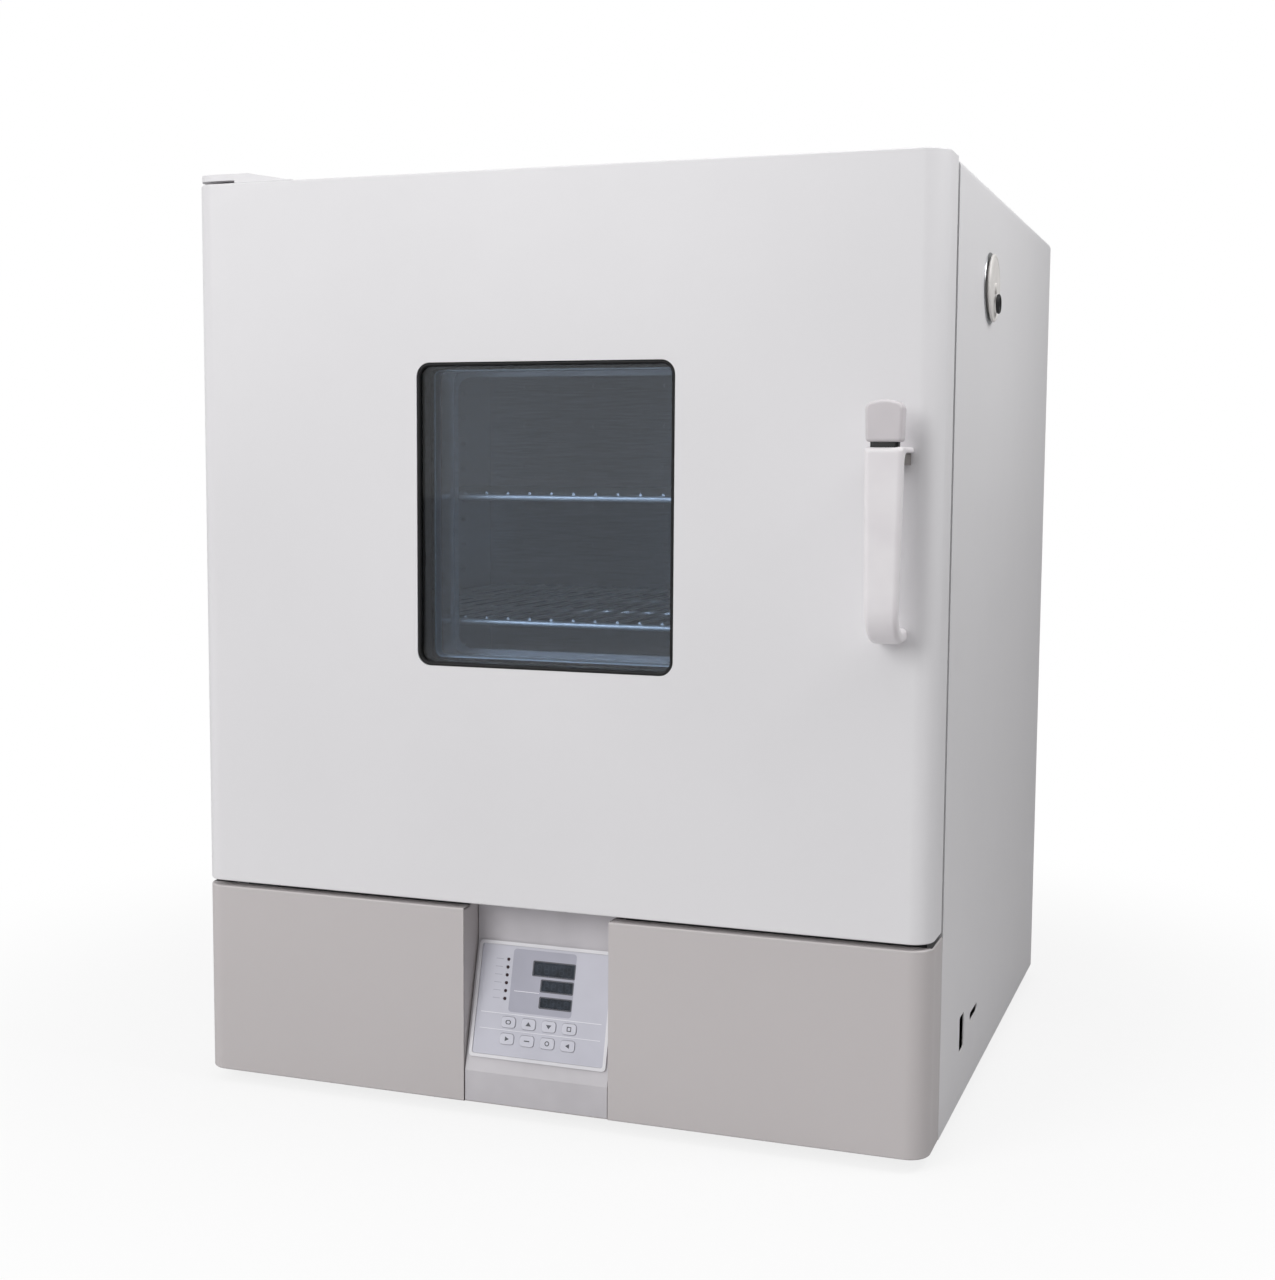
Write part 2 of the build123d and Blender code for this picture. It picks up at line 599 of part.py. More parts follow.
# Fan shaft: a turned spindle from the motor up into the hub, with its collar and nut
MOTOR_TOP = PARTITION_TOP - SHEET - MOTOR_STANDOFF
SHAFT_BOTTOM = MOTOR_TOP - 40.0
SHAFT_TOP = WHEEL_BOTTOM + HUB_HEIGHT
COLLAR_HEIGHT = 3.0
NUT_HEIGHT = 6.0
with BuildPart() as fan_shaft:
    with BuildSketch(Plane.XY.offset(SHAFT_BOTTOM)):
        disc(0, FAN_Y, SHAFT_RADIUS)
    extrude(amount=SHAFT_TOP + NUT_HEIGHT + 2.0 - SHAFT_BOTTOM)
    with BuildSketch(Plane.XY.offset(WHEEL_BOTTOM - COLLAR_HEIGHT)):
        disc(0, FAN_Y, SHAFT_RADIUS + 2.5)
    extrude(amount=COLLAR_HEIGHT)
    with BuildSketch(Plane.XY.offset(SHAFT_TOP)):
        with Locations((0, FAN_Y)):
            RegularPolygon(8.5, 6, major_radius=False)
    extrude(amount=NUT_HEIGHT)
    chamfer(fan_shaft.faces().sort_by(Axis.Z)[-1].edges(), 1.0)
finish(fan_shaft, "fan_shaft")

# Fan motor: a finned induction motor that hangs from the partition on four studs
MOTOR_FLANGE = 6.0
STUD_RADIUS = 3.0
STUD_CIRCLE = MOTOR_RADIUS + 5.0
with BuildPart() as fan_motor:
    with BuildSketch(Plane.XZ):
        with BuildLine():
            Polyline(
                (0, MOTOR_TOP),
                (STUD_CIRCLE + 6.0, MOTOR_TOP),
                (STUD_CIRCLE + 6.0, MOTOR_TOP - MOTOR_FLANGE),
                (MOTOR_RADIUS - 4.0, MOTOR_TOP - MOTOR_FLANGE),
                (MOTOR_RADIUS - 4.0, MOTOR_TOP - MOTOR_HEIGHT + 10.0),
                (MOTOR_RADIUS - 12.0, MOTOR_TOP - MOTOR_HEIGHT),
                (0, MOTOR_TOP - MOTOR_HEIGHT),
                close=True,
            )
        make_face()
    revolve(axis=Axis.Z)
    with BuildSketch(Plane.XY.offset(MOTOR_TOP - MOTOR_FLANGE)):
        with PolarLocations(MOTOR_RADIUS - 4.0, 24):
            Rectangle(8.0, 3.0)
    extrude(amount=-(MOTOR_HEIGHT - MOTOR_FLANGE - 12.0))
    with BuildSketch(Plane.XY.offset(MOTOR_TOP)):
        with PolarLocations(STUD_CIRCLE, 4, start_angle=45):
            Circle(STUD_RADIUS)
    extrude(amount=MOTOR_STANDOFF)
    with BuildSketch(Plane.XY.offset(MOTOR_TOP)):
        Circle(SHAFT_RADIUS + RUNNING)
    extrude(amount=-(MOTOR_TOP - SHAFT_BOTTOM + FIT), mode=Mode.SUBTRACT)
fan_motor.part.locate(Location((0, FAN_Y, 0)))
finish(fan_motor, "fan_motor")

# Temperature sensors: two sheathed probes through the back of the tank, each with a collar
SENSOR_LENGTH = 62.0
with BuildPart() as temperature_sensors:
    for place in SENSOR_PLACES:
        with BuildSketch(front_plane(TANK_BACK + SHEET + 12.0)):
            disc(*place, SENSOR_RADIUS)
        extrude(amount=DUCT_DEPTH + SENSOR_LENGTH)
        with BuildSketch(front_plane(TANK_BACK)):
            disc(*place, SENSOR_RADIUS + 3.0)
        extrude(amount=3.0)
finish(temperature_sensors, "temperature_sensors")

# Exhaust flange: a spigot from the tank through the back cover, with a spider and a centre pin
SPIGOT_END = BACK + 18.0
SPIDER_THICKNESS = 3.0
EXHAUST_PIN = 3.0
PIN_END = BACK + REAR_REACH - 4.0
with BuildPart() as exhaust_flange:
    with BuildSketch(front_plane(TANK_BACK)):
        disc(EXHAUST_X, EXHAUST_Z, EXHAUST_BORE + EXHAUST_WALL)
        disc(EXHAUST_X, EXHAUST_Z, EXHAUST_BORE, Mode.SUBTRACT)
    extrude(amount=-(SPIGOT_END - TANK_BACK))
    with BuildSketch(front_plane(BACK)):
        disc(EXHAUST_X, EXHAUST_Z, EXHAUST_BORE * 2.2)
        disc(EXHAUST_X, EXHAUST_Z, EXHAUST_BORE, Mode.SUBTRACT)
        with Locations((EXHAUST_X, EXHAUST_Z)):
            with PolarLocations(EXHAUST_BORE * 1.8, 3, start_angle=90):
                Circle(2.2, mode=Mode.SUBTRACT)
    extrude(amount=-3.0)
    with BuildSketch(front_plane(SPIGOT_END - SPIDER_THICKNESS)):
        with Locations((EXHAUST_X, EXHAUST_Z)):
            Rectangle(2 * EXHAUST_BORE + EXHAUST_WALL, 7.0)
            Circle(6.0)
    extrude(amount=-SPIDER_THICKNESS)
    with BuildSketch(front_plane(SPIGOT_END)):
        disc(EXHAUST_X, EXHAUST_Z, EXHAUST_PIN)
    extrude(amount=-(PIN_END - SPIGOT_END))
finish(exhaust_flange, "exhaust_flange")

# Exhaust shutter: a turning cap with two windows and a grip bar
SHUTTER_START = SPIGOT_END + FIT
SHUTTER_THICKNESS = 3.0
with BuildPart() as exhaust_shutter:
    with BuildSketch(front_plane(SHUTTER_START)):
        with Locations((EXHAUST_X, EXHAUST_Z)):
            Circle(EXHAUST_BORE + EXHAUST_WALL + 3.0)
            for half in (90, 270):
                with Locations(Location((0, 0, 0), half)):
                    with Locations((EXHAUST_BORE / 2 + 1.0, 0)):
                        RectangleRounded(
                            EXHAUST_BORE - 7.0, EXHAUST_BORE, 2.5, mode=Mode.SUBTRACT
                        )
    extrude(amount=-SHUTTER_THICKNESS)
    with BuildSketch(front_plane(SHUTTER_START + SHUTTER_THICKNESS)):
        with Locations((EXHAUST_X, EXHAUST_Z)):
            SlotOverall(2 * EXHAUST_BORE, 7.0)
            Circle(6.0)
    extrude(amount=-(BACK + REAR_REACH - SHUTTER_START - SHUTTER_THICKNESS))
    with BuildSketch(front_plane(SHUTTER_START)):
        disc(EXHAUST_X, EXHAUST_Z, EXHAUST_PIN + RUNNING)
    extrude(amount=-(PIN_END - SHUTTER_START + FIT), mode=Mode.SUBTRACT)
finish(exhaust_shutter, "exhaust_shutter")

# Cord gland: the inlet for the supply cord, low on the back cover
GLAND_TAIL = 8.0
GLAND_NUT = 6.0
GLAND_NOSE = 18.0
GLAND_FLATS = 13.0
with BuildPart() as cord_gland:
    with BuildSketch(front_plane(BACK - SHEET - GLAND_TAIL)):
        disc(GLAND_X, GLAND_Z, GLAND_BORE + 4.0)
    extrude(amount=-(GLAND_TAIL + SHEET))
    with BuildSketch(front_plane(BACK - SHEET - 5.0)):
        with Locations((GLAND_X, GLAND_Z)):
            RegularPolygon(GLAND_FLATS, 6, major_radius=False)
    extrude(amount=-5.0)
    with BuildSketch(front_plane(BACK)):
        with Locations((GLAND_X, GLAND_Z)):
            RegularPolygon(GLAND_FLATS, 6, major_radius=False)
    extrude(amount=-GLAND_NUT)
    with BuildSketch(front_plane(BACK + GLAND_NUT)):
        disc(GLAND_X, GLAND_Z, GLAND_BORE + 5.0)
    extrude(amount=-(GLAND_NOSE - GLAND_NUT), taper=10)
    with BuildSketch(front_plane(BACK + GLAND_NOSE)):
        disc(GLAND_X, GLAND_Z, GLAND_BORE)
    extrude(amount=GLAND_NOSE + SHEET + GLAND_TAIL, mode=Mode.SUBTRACT)
finish(cord_gland, "cord_gland")

# Cable port sleeve: a spun tube from the tank wall out through the casing, with a flat flange
with BuildPart() as cable_port_sleeve:
    with BuildSketch(Plane.YZ.offset(CHAMBER_SIDE)):
        disc(PORT_Y, PORT_Z, PORT_RADIUS + PORT_WALL)
        disc(PORT_Y, PORT_Z, PORT_RADIUS, Mode.SUBTRACT)
    extrude(amount=RIGHT - CHAMBER_SIDE)
    with BuildSketch(Plane.YZ.offset(RIGHT)):
        disc(PORT_Y, PORT_Z, PORT_CAP_RADIUS + 2.0)
        disc(PORT_Y, PORT_Z, PORT_RADIUS, Mode.SUBTRACT)
    extrude(amount=1.0)
finish(cable_port_sleeve, "cable_port_sleeve")

# Cable port plug: a rubber stopper with a flat cap and a small pull loop that hangs from its middle
LOOP_RADIUS = 7.0
LOOP_WIRE = 1.6
with BuildPart() as cable_port_plug:
    with BuildSketch(Plane.YZ.offset(RIGHT + PORT_CAP_GAP)):
        disc(PORT_Y, PORT_Z, PORT_RADIUS - FIT)
    extrude(amount=-PORT_STEM, taper=2)
    with BuildSketch(Plane.YZ.offset(RIGHT + PORT_CAP_GAP)):
        disc(PORT_Y, PORT_Z, PORT_CAP_RADIUS)
    extrude(amount=PORT_CAP_THICKNESS)
    fillet(cable_port_plug.faces().sort_by(Axis.X)[-1].edges(), 1.0)
    with BuildSketch(Plane.YZ.offset(RIGHT + PORT_CAP_GAP + PORT_CAP_THICKNESS)):
        disc(PORT_Y, PORT_Z, 5.0)
    extrude(amount=LOOP_WIRE)
    with BuildSketch(Plane.YZ.offset(RIGHT + PORT_CAP_GAP + PORT_CAP_THICKNESS + LOOP_WIRE)):
        disc(PORT_Y, PORT_Z - LOOP_RADIUS, LOOP_RADIUS + 2.5)
        disc(PORT_Y, PORT_Z - LOOP_RADIUS - 1.0, LOOP_RADIUS - 2.0, Mode.SUBTRACT)
    extrude(amount=LOOP_WIRE * 2)
finish(cable_port_plug, "cable_port_plug")

# Lower front cover: a folded sheet with the corners of the door, cut through where the console sits
NOTCH_LEFT = NOTCH_OFFSET - NOTCH_WIDTH / 2
NOTCH_RIGHT = NOTCH_OFFSET + NOTCH_WIDTH / 2
with BuildPart() as lower_front_cover:
    with BuildSketch(Plane.XY.offset(BOTTOM)) as cover_plan:
        panel(LEFT, RIGHT, FRONT, CABINET_FRONT - SEAM)
        fillet(cover_plan.vertices().group_by(Axis.Y)[0], DOOR_CORNER)
    extrude(amount=COVER_HEIGHT)
    with BuildSketch(Plane.XY.offset(BOTTOM + SHEET)) as cover_hollow:
        panel(LEFT + SHEET, RIGHT - SHEET, FRONT + SHEET, CABINET_FRONT)
        fillet(cover_hollow.vertices().group_by(Axis.Y)[0], DOOR_CORNER - SHEET)
    extrude(amount=COVER_HEIGHT - 2 * SHEET, mode=Mode.SUBTRACT)
    with BuildSketch(Plane.XY.offset(COVER_TOP - SHEET)):
        panel(LEFT + SHEET, RIGHT - SHEET, FRONT + COVER_FLANGE, CABINET_FRONT)
    extrude(amount=SHEET, mode=Mode.SUBTRACT)
    with BuildSketch(front_plane(FRONT)):
        panel(NOTCH_LEFT, NOTCH_RIGHT, BOTTOM + SHEET, COVER_TOP)
    extrude(amount=-NOTCH_WALL_DEPTH, mode=Mode.SUBTRACT)
    with BuildSketch(Plane.XY.offset(BOTTOM)):
        panel(NOTCH_LEFT, NOTCH_RIGHT, FRONT, FRONT + SHEET + CONSOLE_SETBACK)
    extrude(amount=SHEET, mode=Mode.SUBTRACT)
    with BuildSketch(front_plane(FRONT)):
        panel(NOTCH_LEFT - SHEET, NOTCH_LEFT, BOTTOM, COVER_TOP)
        panel(NOTCH_RIGHT, NOTCH_RIGHT + SHEET, BOTTOM, COVER_TOP)
    extrude(amount=-NOTCH_WALL_DEPTH)
finish(lower_front_cover, "lower_front_cover")

# Control console: a moulded shell that rises flush from the cover and then leans back
CONSOLE_SIDE_GAP = 1.0
CONSOLE_HALF = NOTCH_WIDTH / 2 - CONSOLE_SIDE_GAP
KNEE_Z = BOTTOM + CONSOLE_KNEE
LEAN_Y = FRONT + CONSOLE_SETBACK + CONSOLE_SLOPE * sin(radians(CONSOLE_TILT))
LEAN_Z = KNEE_Z + CONSOLE_SLOPE * cos(radians(CONSOLE_TILT))
CONSOLE_TOP = COVER_TOP - 0.5
CONSOLE_BACK = FRONT + NOTCH_WALL_DEPTH - SEAM
SLOPE_PLANE = Plane(
    origin=(NOTCH_OFFSET, FRONT + CONSOLE_SETBACK, KNEE_Z),
    x_dir=(1, 0, 0),
    z_dir=(0, -cos(radians(CONSOLE_TILT)), sin(radians(CONSOLE_TILT))),
)
RECESS_TOP = CONSOLE_SLOPE - BEZEL_RIM
RECESS_BOTTOM = BEZEL_BOTTOM + BEZEL_RIM
RECESS_HALF = BEZEL_WIDTH / 2 - BEZEL_RIM
DISPLAY_BLOCKS = ((8.6, 99.0, 40.4, 12.2), (13.0, 83.8, 30.8, 9.8), (13.1, 68.5, 30.6, 8.9))
LAMP_COLUMN = -37.6
LAMP_TOP = 104.8
LAMP_PITCH = 7.22
LAMP_COUNT = 6
LAMP_RADIUS = 1.5
KEY_COLUMNS = (-31.3, -11.2, 9.0, 29.2)
KEY_ROWS = (47.6, 32.4)
KEY_SIZE = (14.0, 10.0)
KEY_CORNER = 3.0
KEY_RISE = 0.9
KEY_TRAVEL = 0.6
KEY_PLACES = [(column, row) for row in KEY_ROWS for column in KEY_COLUMNS]
LAMP_PLACES = [(LAMP_COLUMN, LAMP_TOP - LAMP_PITCH * n) for n in range(LAMP_COUNT)]
with BuildPart() as control_console:
    with BuildSketch(Plane.YZ.offset(NOTCH_OFFSET - CONSOLE_HALF)):
        with BuildLine():
            Polyline(
                (FRONT + CONSOLE_SETBACK, BOTTOM + SHEET),
                (FRONT + CONSOLE_SETBACK, KNEE_Z),
                (LEAN_Y, LEAN_Z),
                (LEAN_Y, CONSOLE_TOP),
                (CONSOLE_BACK, CONSOLE_TOP),
                (CONSOLE_BACK, BOTTOM + SHEET),
                close=True,
            )
        make_face()
    extrude(amount=2 * CONSOLE_HALF)
    offset(
        amount=-CONSOLE_WALL,
        openings=control_console.faces().sort_by(Axis.Y)[-1],
    )
    with BuildSketch(SLOPE_PLANE):
        panel(
            -BEZEL_WIDTH / 2, BEZEL_WIDTH / 2, BEZEL_BOTTOM, CONSOLE_SLOPE, 4.0
        )
        panel(-RECESS_HALF, RECESS_HALF, RECESS_BOTTOM, RECESS_TOP, 2.0, Mode.SUBTRACT)
    extrude(amount=BEZEL_RAISE)
    with BuildSketch(SLOPE_PLANE):
        for column, row, width, height in DISPLAY_BLOCKS:
            with Locations((column, row)):
                Rectangle(width, height)
        for place in LAMP_PLACES:
            disc(*place, LAMP_RADIUS + FIT)
        for place in KEY_PLACES:
            disc(*place, 3.0)
    extrude(amount=-2 * CONSOLE_WALL, mode=Mode.SUBTRACT)
finish(control_console, "control_console")

# Control membrane: the printed front sheet in the bezel, with windows for displays, lamps and keys
with BuildPart() as control_membrane:
    with BuildSketch(SLOPE_PLANE):
        panel(
            -RECESS_HALF + FIT / 2,
            RECESS_HALF - FIT / 2,
            RECESS_BOTTOM + FIT / 2,
            RECESS_TOP - FIT / 2,
            2.0,
        )
        for column, row, width, height in DISPLAY_BLOCKS:
            with Locations((column, row)):
                Rectangle(width, height, mode=Mode.SUBTRACT)
        for place in LAMP_PLACES:
            disc(*place, LAMP_RADIUS + FIT / 2, Mode.SUBTRACT)
        with Locations(*KEY_PLACES):
            RectangleRounded(
                KEY_SIZE[0] + 2 * FIT, KEY_SIZE[1] + 2 * FIT, KEY_CORNER + FIT, mode=Mode.SUBTRACT
            )
    extrude(amount=MEMBRANE_THICKNESS)
finish(control_membrane, "control_membrane")

# Display windows: three smoked lenses in the console's openings
with BuildPart() as display_windows:
    with BuildSketch(SLOPE_PLANE.offset(-CONSOLE_WALL)):
        for column, row, width, height in DISPLAY_BLOCKS:
            with Locations((column, row)):
                Rectangle(width - FIT / 2, height - FIT / 2)
    extrude(amount=CONSOLE_WALL + MEMBRANE_THICKNESS - FIT)
finish(display_windows, "display_windows")

# Status lamps: a column of six indicator lenses
with BuildPart() as status_lamps:
    with BuildSketch(SLOPE_PLANE.offset(-CONSOLE_WALL)):
        for place in LAMP_PLACES:
            disc(*place, LAMP_RADIUS)
    extrude(amount=CONSOLE_WALL + MEMBRANE_THICKNESS)
finish(status_lamps, "status_lamps")

# Control board: the circuit board behind the console, with its display modules and key switches
BOARD_GAP = CONSOLE_WALL + 5.0
SWITCH_TOP = CONSOLE_WALL + 1.0
KEY_STEM = SWITCH_TOP - KEY_TRAVEL - 0.2
with BuildPart() as control_board:
    with BuildSketch(SLOPE_PLANE.offset(-BOARD_GAP)):
        panel(-RECESS_HALF + 2.0, RECESS_HALF - 2.0, RECESS_BOTTOM, RECESS_TOP, 2.0)
        with Locations((0, (RECESS_BOTTOM + RECESS_TOP) / 2)):
            with GridLocations(2 * RECESS_HALF - 12.0, RECESS_TOP - RECESS_BOTTOM - 8.0, 2, 2):
                Circle(1.6, mode=Mode.SUBTRACT)
    extrude(amount=-1.6)
    with BuildSketch(SLOPE_PLANE.offset(-BOARD_GAP)):
        for column, row, width, height in DISPLAY_BLOCKS:
            with Locations((column, row)):
                Rectangle(width - 2.0, height - 1.0)
        for place in LAMP_PLACES:
            disc(*place, LAMP_RADIUS)
    extrude(amount=BOARD_GAP - CONSOLE_WALL - FIT)
    with BuildSketch(SLOPE_PLANE.offset(-BOARD_GAP)):
        with Locations(*KEY_PLACES):
            Rectangle(6.0, 6.0)
    extrude(amount=BOARD_GAP - SWITCH_TOP)
    with BuildSketch(SLOPE_PLANE.offset(-BOARD_GAP)):
        with Locations((0, (RECESS_BOTTOM + RECESS_TOP) / 2)):
            with GridLocations(2 * RECESS_HALF - 12.0, RECESS_TOP - RECESS_BOTTOM - 8.0, 2, 2):
                Circle(2.6)
    extrude(amount=BOARD_GAP - CONSOLE_WALL)
finish(control_board, "control_board")

# Keys: eight press pads, each with a stem through the console to its switch
for number, place in enumerate(KEY_PLACES, start=1):
    with BuildPart() as key:
        with BuildSketch(SLOPE_PLANE.offset(KEY_TRAVEL + 0.1)):
            with Locations(place):
                RectangleRounded(*KEY_SIZE, KEY_CORNER)
        extrude(amount=MEMBRANE_THICKNESS + KEY_RISE - KEY_TRAVEL - 0.1)
        fillet(key.faces().sort_by(Axis.Y)[0].edges(), 0.35)
        with BuildSketch(SLOPE_PLANE.offset(KEY_TRAVEL + 0.1)):
            disc(*place, 2.2)
        extrude(amount=-(KEY_TRAVEL + 0.1 + KEY_STEM))
    finish(key, f"key_{number}")

# Breaker body: the earth-leakage breaker behind its window in the right side
BREAKER_Y, BREAKER_Z = FRONT + BREAKER_FROM_FACE, BOTTOM + BREAKER_HEIGHT
BREAKER_SIZE = (62.0, 74.0)
BREAKER_DEPTH = 52.0
BREAKER_NOSE = (23.0, 31.0)
BREAKER_FACE = RIGHT - 9.0
LEVER_PIVOT_X = BREAKER_FACE - 6.0
LEVER_PIN = 2.0
LEVER_WIDTH = 10.0
LEVER_TILT = 22.0
with BuildPart() as breaker_body:
    with BuildSketch(Plane.YZ.offset(BREAKER_FACE - 6.0)):
        with Locations((BREAKER_Y, BREAKER_Z)):
            RectangleRounded(*BREAKER_SIZE, 3.0)
    extrude(amount=-BREAKER_DEPTH)
    with BuildSketch(Plane.YZ.offset(BREAKER_FACE - 6.0)):
        with Locations((BREAKER_Y, BREAKER_Z)):
            RectangleRounded(*BREAKER_NOSE, 1.5)
    extrude(amount=6.0)
    with BuildSketch(Plane.YZ.offset(BREAKER_FACE)):
        with Locations((BREAKER_Y, BREAKER_Z)):
            Rectangle(LEVER_WIDTH + 2.0, 24.0)
    extrude(amount=-15.0, mode=Mode.SUBTRACT)
    with BuildSketch(front_plane(BREAKER_Y - LEVER_WIDTH / 2 - 3.0)):
        disc(LEVER_PIVOT_X, BREAKER_Z, LEVER_PIN)
    extrude(amount=-(LEVER_WIDTH + 6.0))
    with BuildSketch(Plane.YZ.offset(RIGHT - SHEET)):
        with Locations((BREAKER_Y, BREAKER_Z)):
            with GridLocations(BREAKER_SIZE[0] - 10.0, BREAKER_SIZE[1] - 12.0, 2, 2):
                Circle(3.0)
    extrude(amount=-(9.0 + 6.0 - SHEET))
finish(breaker_body, "breaker_body")

# Breaker lever: a rocking toggle on the breaker's cross pin, up for on
with BuildPart() as breaker_lever:
    with BuildSketch(front_plane(BREAKER_Y - LEVER_WIDTH / 2)):
        disc(LEVER_PIVOT_X, BREAKER_Z, 5.0)
        with BuildLine(Location((LEVER_PIVOT_X, BREAKER_Z, 0), LEVER_TILT)):
            Polyline((0, 3.2), (12.5, 2.2), (12.5, -2.2), (0, -3.2), close=True)
        make_face()
        disc(LEVER_PIVOT_X, BREAKER_Z, LEVER_PIN + RUNNING, Mode.SUBTRACT)
    extrude(amount=-LEVER_WIDTH)
finish(breaker_lever, "breaker_lever")

# Power unit: the relay on its finned heat sink beside the terminal block, on the base plate
SINK_FROM_SIDE = 175.0
SINK_FROM_BACK = 192.0
SINK_WIDTH = 120.0
SINK_LENGTH = 90.0
SINK_BASE = 6.0
FIN_HEIGHT = 34.0
FIN_THICKNESS = 2.0
FIN_COUNT = 12
RELAY_WIDTH = 60.0
RELAY_LENGTH = 46.0
RELAY_HEIGHT = 26.0
STRIP_WIDTH = 110.0
STRIP_LENGTH = 34.0
STRIP_HEIGHT = 16.0
STRIP_WALL = 3.0
STRIP_RIB = 9.0
SINK_X, SINK_Y = LEFT + SINK_FROM_SIDE, BACK - SINK_FROM_BACK
with BuildPart() as power_unit:
    with BuildSketch(Plane.XY.offset(BOTTOM + SHEET)):
        with Locations((SINK_X, SINK_Y)):
            Rectangle(SINK_WIDTH, SINK_LENGTH)
    extrude(amount=SINK_BASE)
    with BuildSketch(Plane.XY.offset(BOTTOM + SHEET + SINK_BASE)):
        with Locations((SINK_X, SINK_Y)):
            with GridLocations((SINK_WIDTH - 2 * FIN_THICKNESS) / (FIN_COUNT - 1), 1, FIN_COUNT, 1):
                Rectangle(FIN_THICKNESS, SINK_LENGTH)
    extrude(amount=FIN_HEIGHT)
    with BuildSketch(Plane.XY.offset(BOTTOM + SHEET + SINK_BASE + FIN_HEIGHT)):
        with Locations((SINK_X, SINK_Y)):
            Rectangle(RELAY_WIDTH, RELAY_LENGTH)
    extrude(amount=RELAY_HEIGHT)
    with BuildSketch(Plane.XY.offset(BOTTOM + SHEET)):
        with Locations((-SINK_X, SINK_Y)):
            Rectangle(STRIP_WIDTH, STRIP_LENGTH)
    extrude(amount=STRIP_HEIGHT)
    with BuildSketch(Plane.XY.offset(BOTTOM + SHEET + STRIP_HEIGHT)):
        with Locations((-SINK_X, SINK_Y)):
            with GridLocations((STRIP_WIDTH - STRIP_WALL) / 5, 1, 6, 1):
                Rectangle(STRIP_WALL, STRIP_LENGTH)
    extrude(amount=STRIP_RIB)
finish(power_unit, "power_unit")

# Door skin: a pressed pan with rounded front corners, open at the back
with BuildPart() as door_skin:
    with BuildSketch(Plane.XY.offset(DOOR_BOTTOM)) as skin_plan:
        panel(LEFT, RIGHT, FRONT, DOOR_BACK)
        fillet(skin_plan.vertices().group_by(Axis.Y)[0], DOOR_CORNER)
    extrude(amount=TOP - DOOR_BOTTOM)
    with BuildSketch(Plane.XY.offset(DOOR_BOTTOM + SHEET)) as skin_hollow:
        panel(LEFT + SHEET, RIGHT - SHEET, FRONT + SHEET, DOOR_BACK)
        fillet(skin_hollow.vertices().group_by(Axis.Y)[0], DOOR_CORNER - SHEET)
    extrude(amount=TOP - DOOR_BOTTOM - 2 * SHEET, mode=Mode.SUBTRACT)
    with BuildSketch(front_plane(FRONT)):
        with Locations((0, WINDOW_Z)):
            RectangleRounded(WINDOW_WIDTH, WINDOW_HEIGHT, WINDOW_CORNER)
    extrude(amount=-SHEET, mode=Mode.SUBTRACT)
    with BuildSketch(Plane.XY.offset(DOOR_BOTTOM)):
        disc(HINGE_X, HINGE_Y, BUSH_RADIUS + 0.1)
    extrude(amount=TOP - DOOR_BOTTOM, mode=Mode.SUBTRACT)
    with BuildSketch(front_plane(FRONT)):
        panel(LATCH_X - ARM_WIDTH / 2 - 1, LATCH_X + ARM_WIDTH / 2 + 1, ARM_Z - 5.5, ARM_Z + 3.0)
    extrude(amount=-SHEET, mode=Mode.SUBTRACT)
finish(door_skin, "door_skin")

# Door inner panel: a stainless sheet with a drawn plug that enters the chamber mouth
PLUG_HALF = CHAMBER_SIDE - PLUG_CLEARANCE
PLUG_BOTTOM = CHAMBER_FLOOR + PLUG_CLEARANCE
PLUG_TOP = CHAMBER_TOP - PLUG_CLEARANCE
PLUG_CENTRE = (PLUG_BOTTOM + PLUG_TOP) / 2
INNER_LAP = 10.0
STRIKE_SLOT_HALF = 7.0
HOOK_TIP_Z = ARM_Z - 10.0
STRIKE_Z = HOOK_TIP_Z - FIT - STRIKE_PIN_RADIUS
with BuildPart() as door_inner_panel:
    with BuildSketch(front_plane(DOOR_BACK - SHEET)):
        panel(LEFT + SHEET + FIT, RIGHT - SHEET - FIT, DOOR_BOTTOM + SHEET, TOP - SHEET - FIT)
    extrude(amount=-SHEET)
    with BuildSketch(front_plane(DOOR_BACK)):
        panel(-PLUG_HALF, PLUG_HALF, PLUG_BOTTOM, PLUG_TOP, 14.0)
    extrude(amount=-PLUG_DEPTH, taper=PLUG_TAPER)
    fillet(door_inner_panel.faces().sort_by(Axis.Y)[-1].edges(), 5.0)
    with BuildSketch(front_plane(DOOR_BACK - SHEET)):
        panel(
            -PLUG_HALF + SHEET,
            PLUG_HALF - SHEET,
            PLUG_BOTTOM + SHEET,
            PLUG_TOP - SHEET,
            13.0,
        )
    extrude(amount=-PLUG_DEPTH, taper=PLUG_TAPER, mode=Mode.SUBTRACT)
    with BuildSketch(front_plane(DOOR_BACK)):
        with Locations((0, WINDOW_Z)):
            RectangleRounded(
                WINDOW_WIDTH - 2 * INNER_LAP, WINDOW_HEIGHT - 2 * INNER_LAP, WINDOW_CORNER
            )
    extrude(amount=-PLUG_DEPTH, mode=Mode.SUBTRACT)
    with BuildSketch(front_plane(DOOR_BACK - SHEET)):
        panel(
            LATCH_X - STRIKE_SLOT_HALF, LATCH_X + STRIKE_SLOT_HALF, STRIKE_Z - 8.0, ARM_Z + 12.0
        )
    extrude(amount=-SHEET, mode=Mode.SUBTRACT)
finish(door_inner_panel, "door_inner_panel")

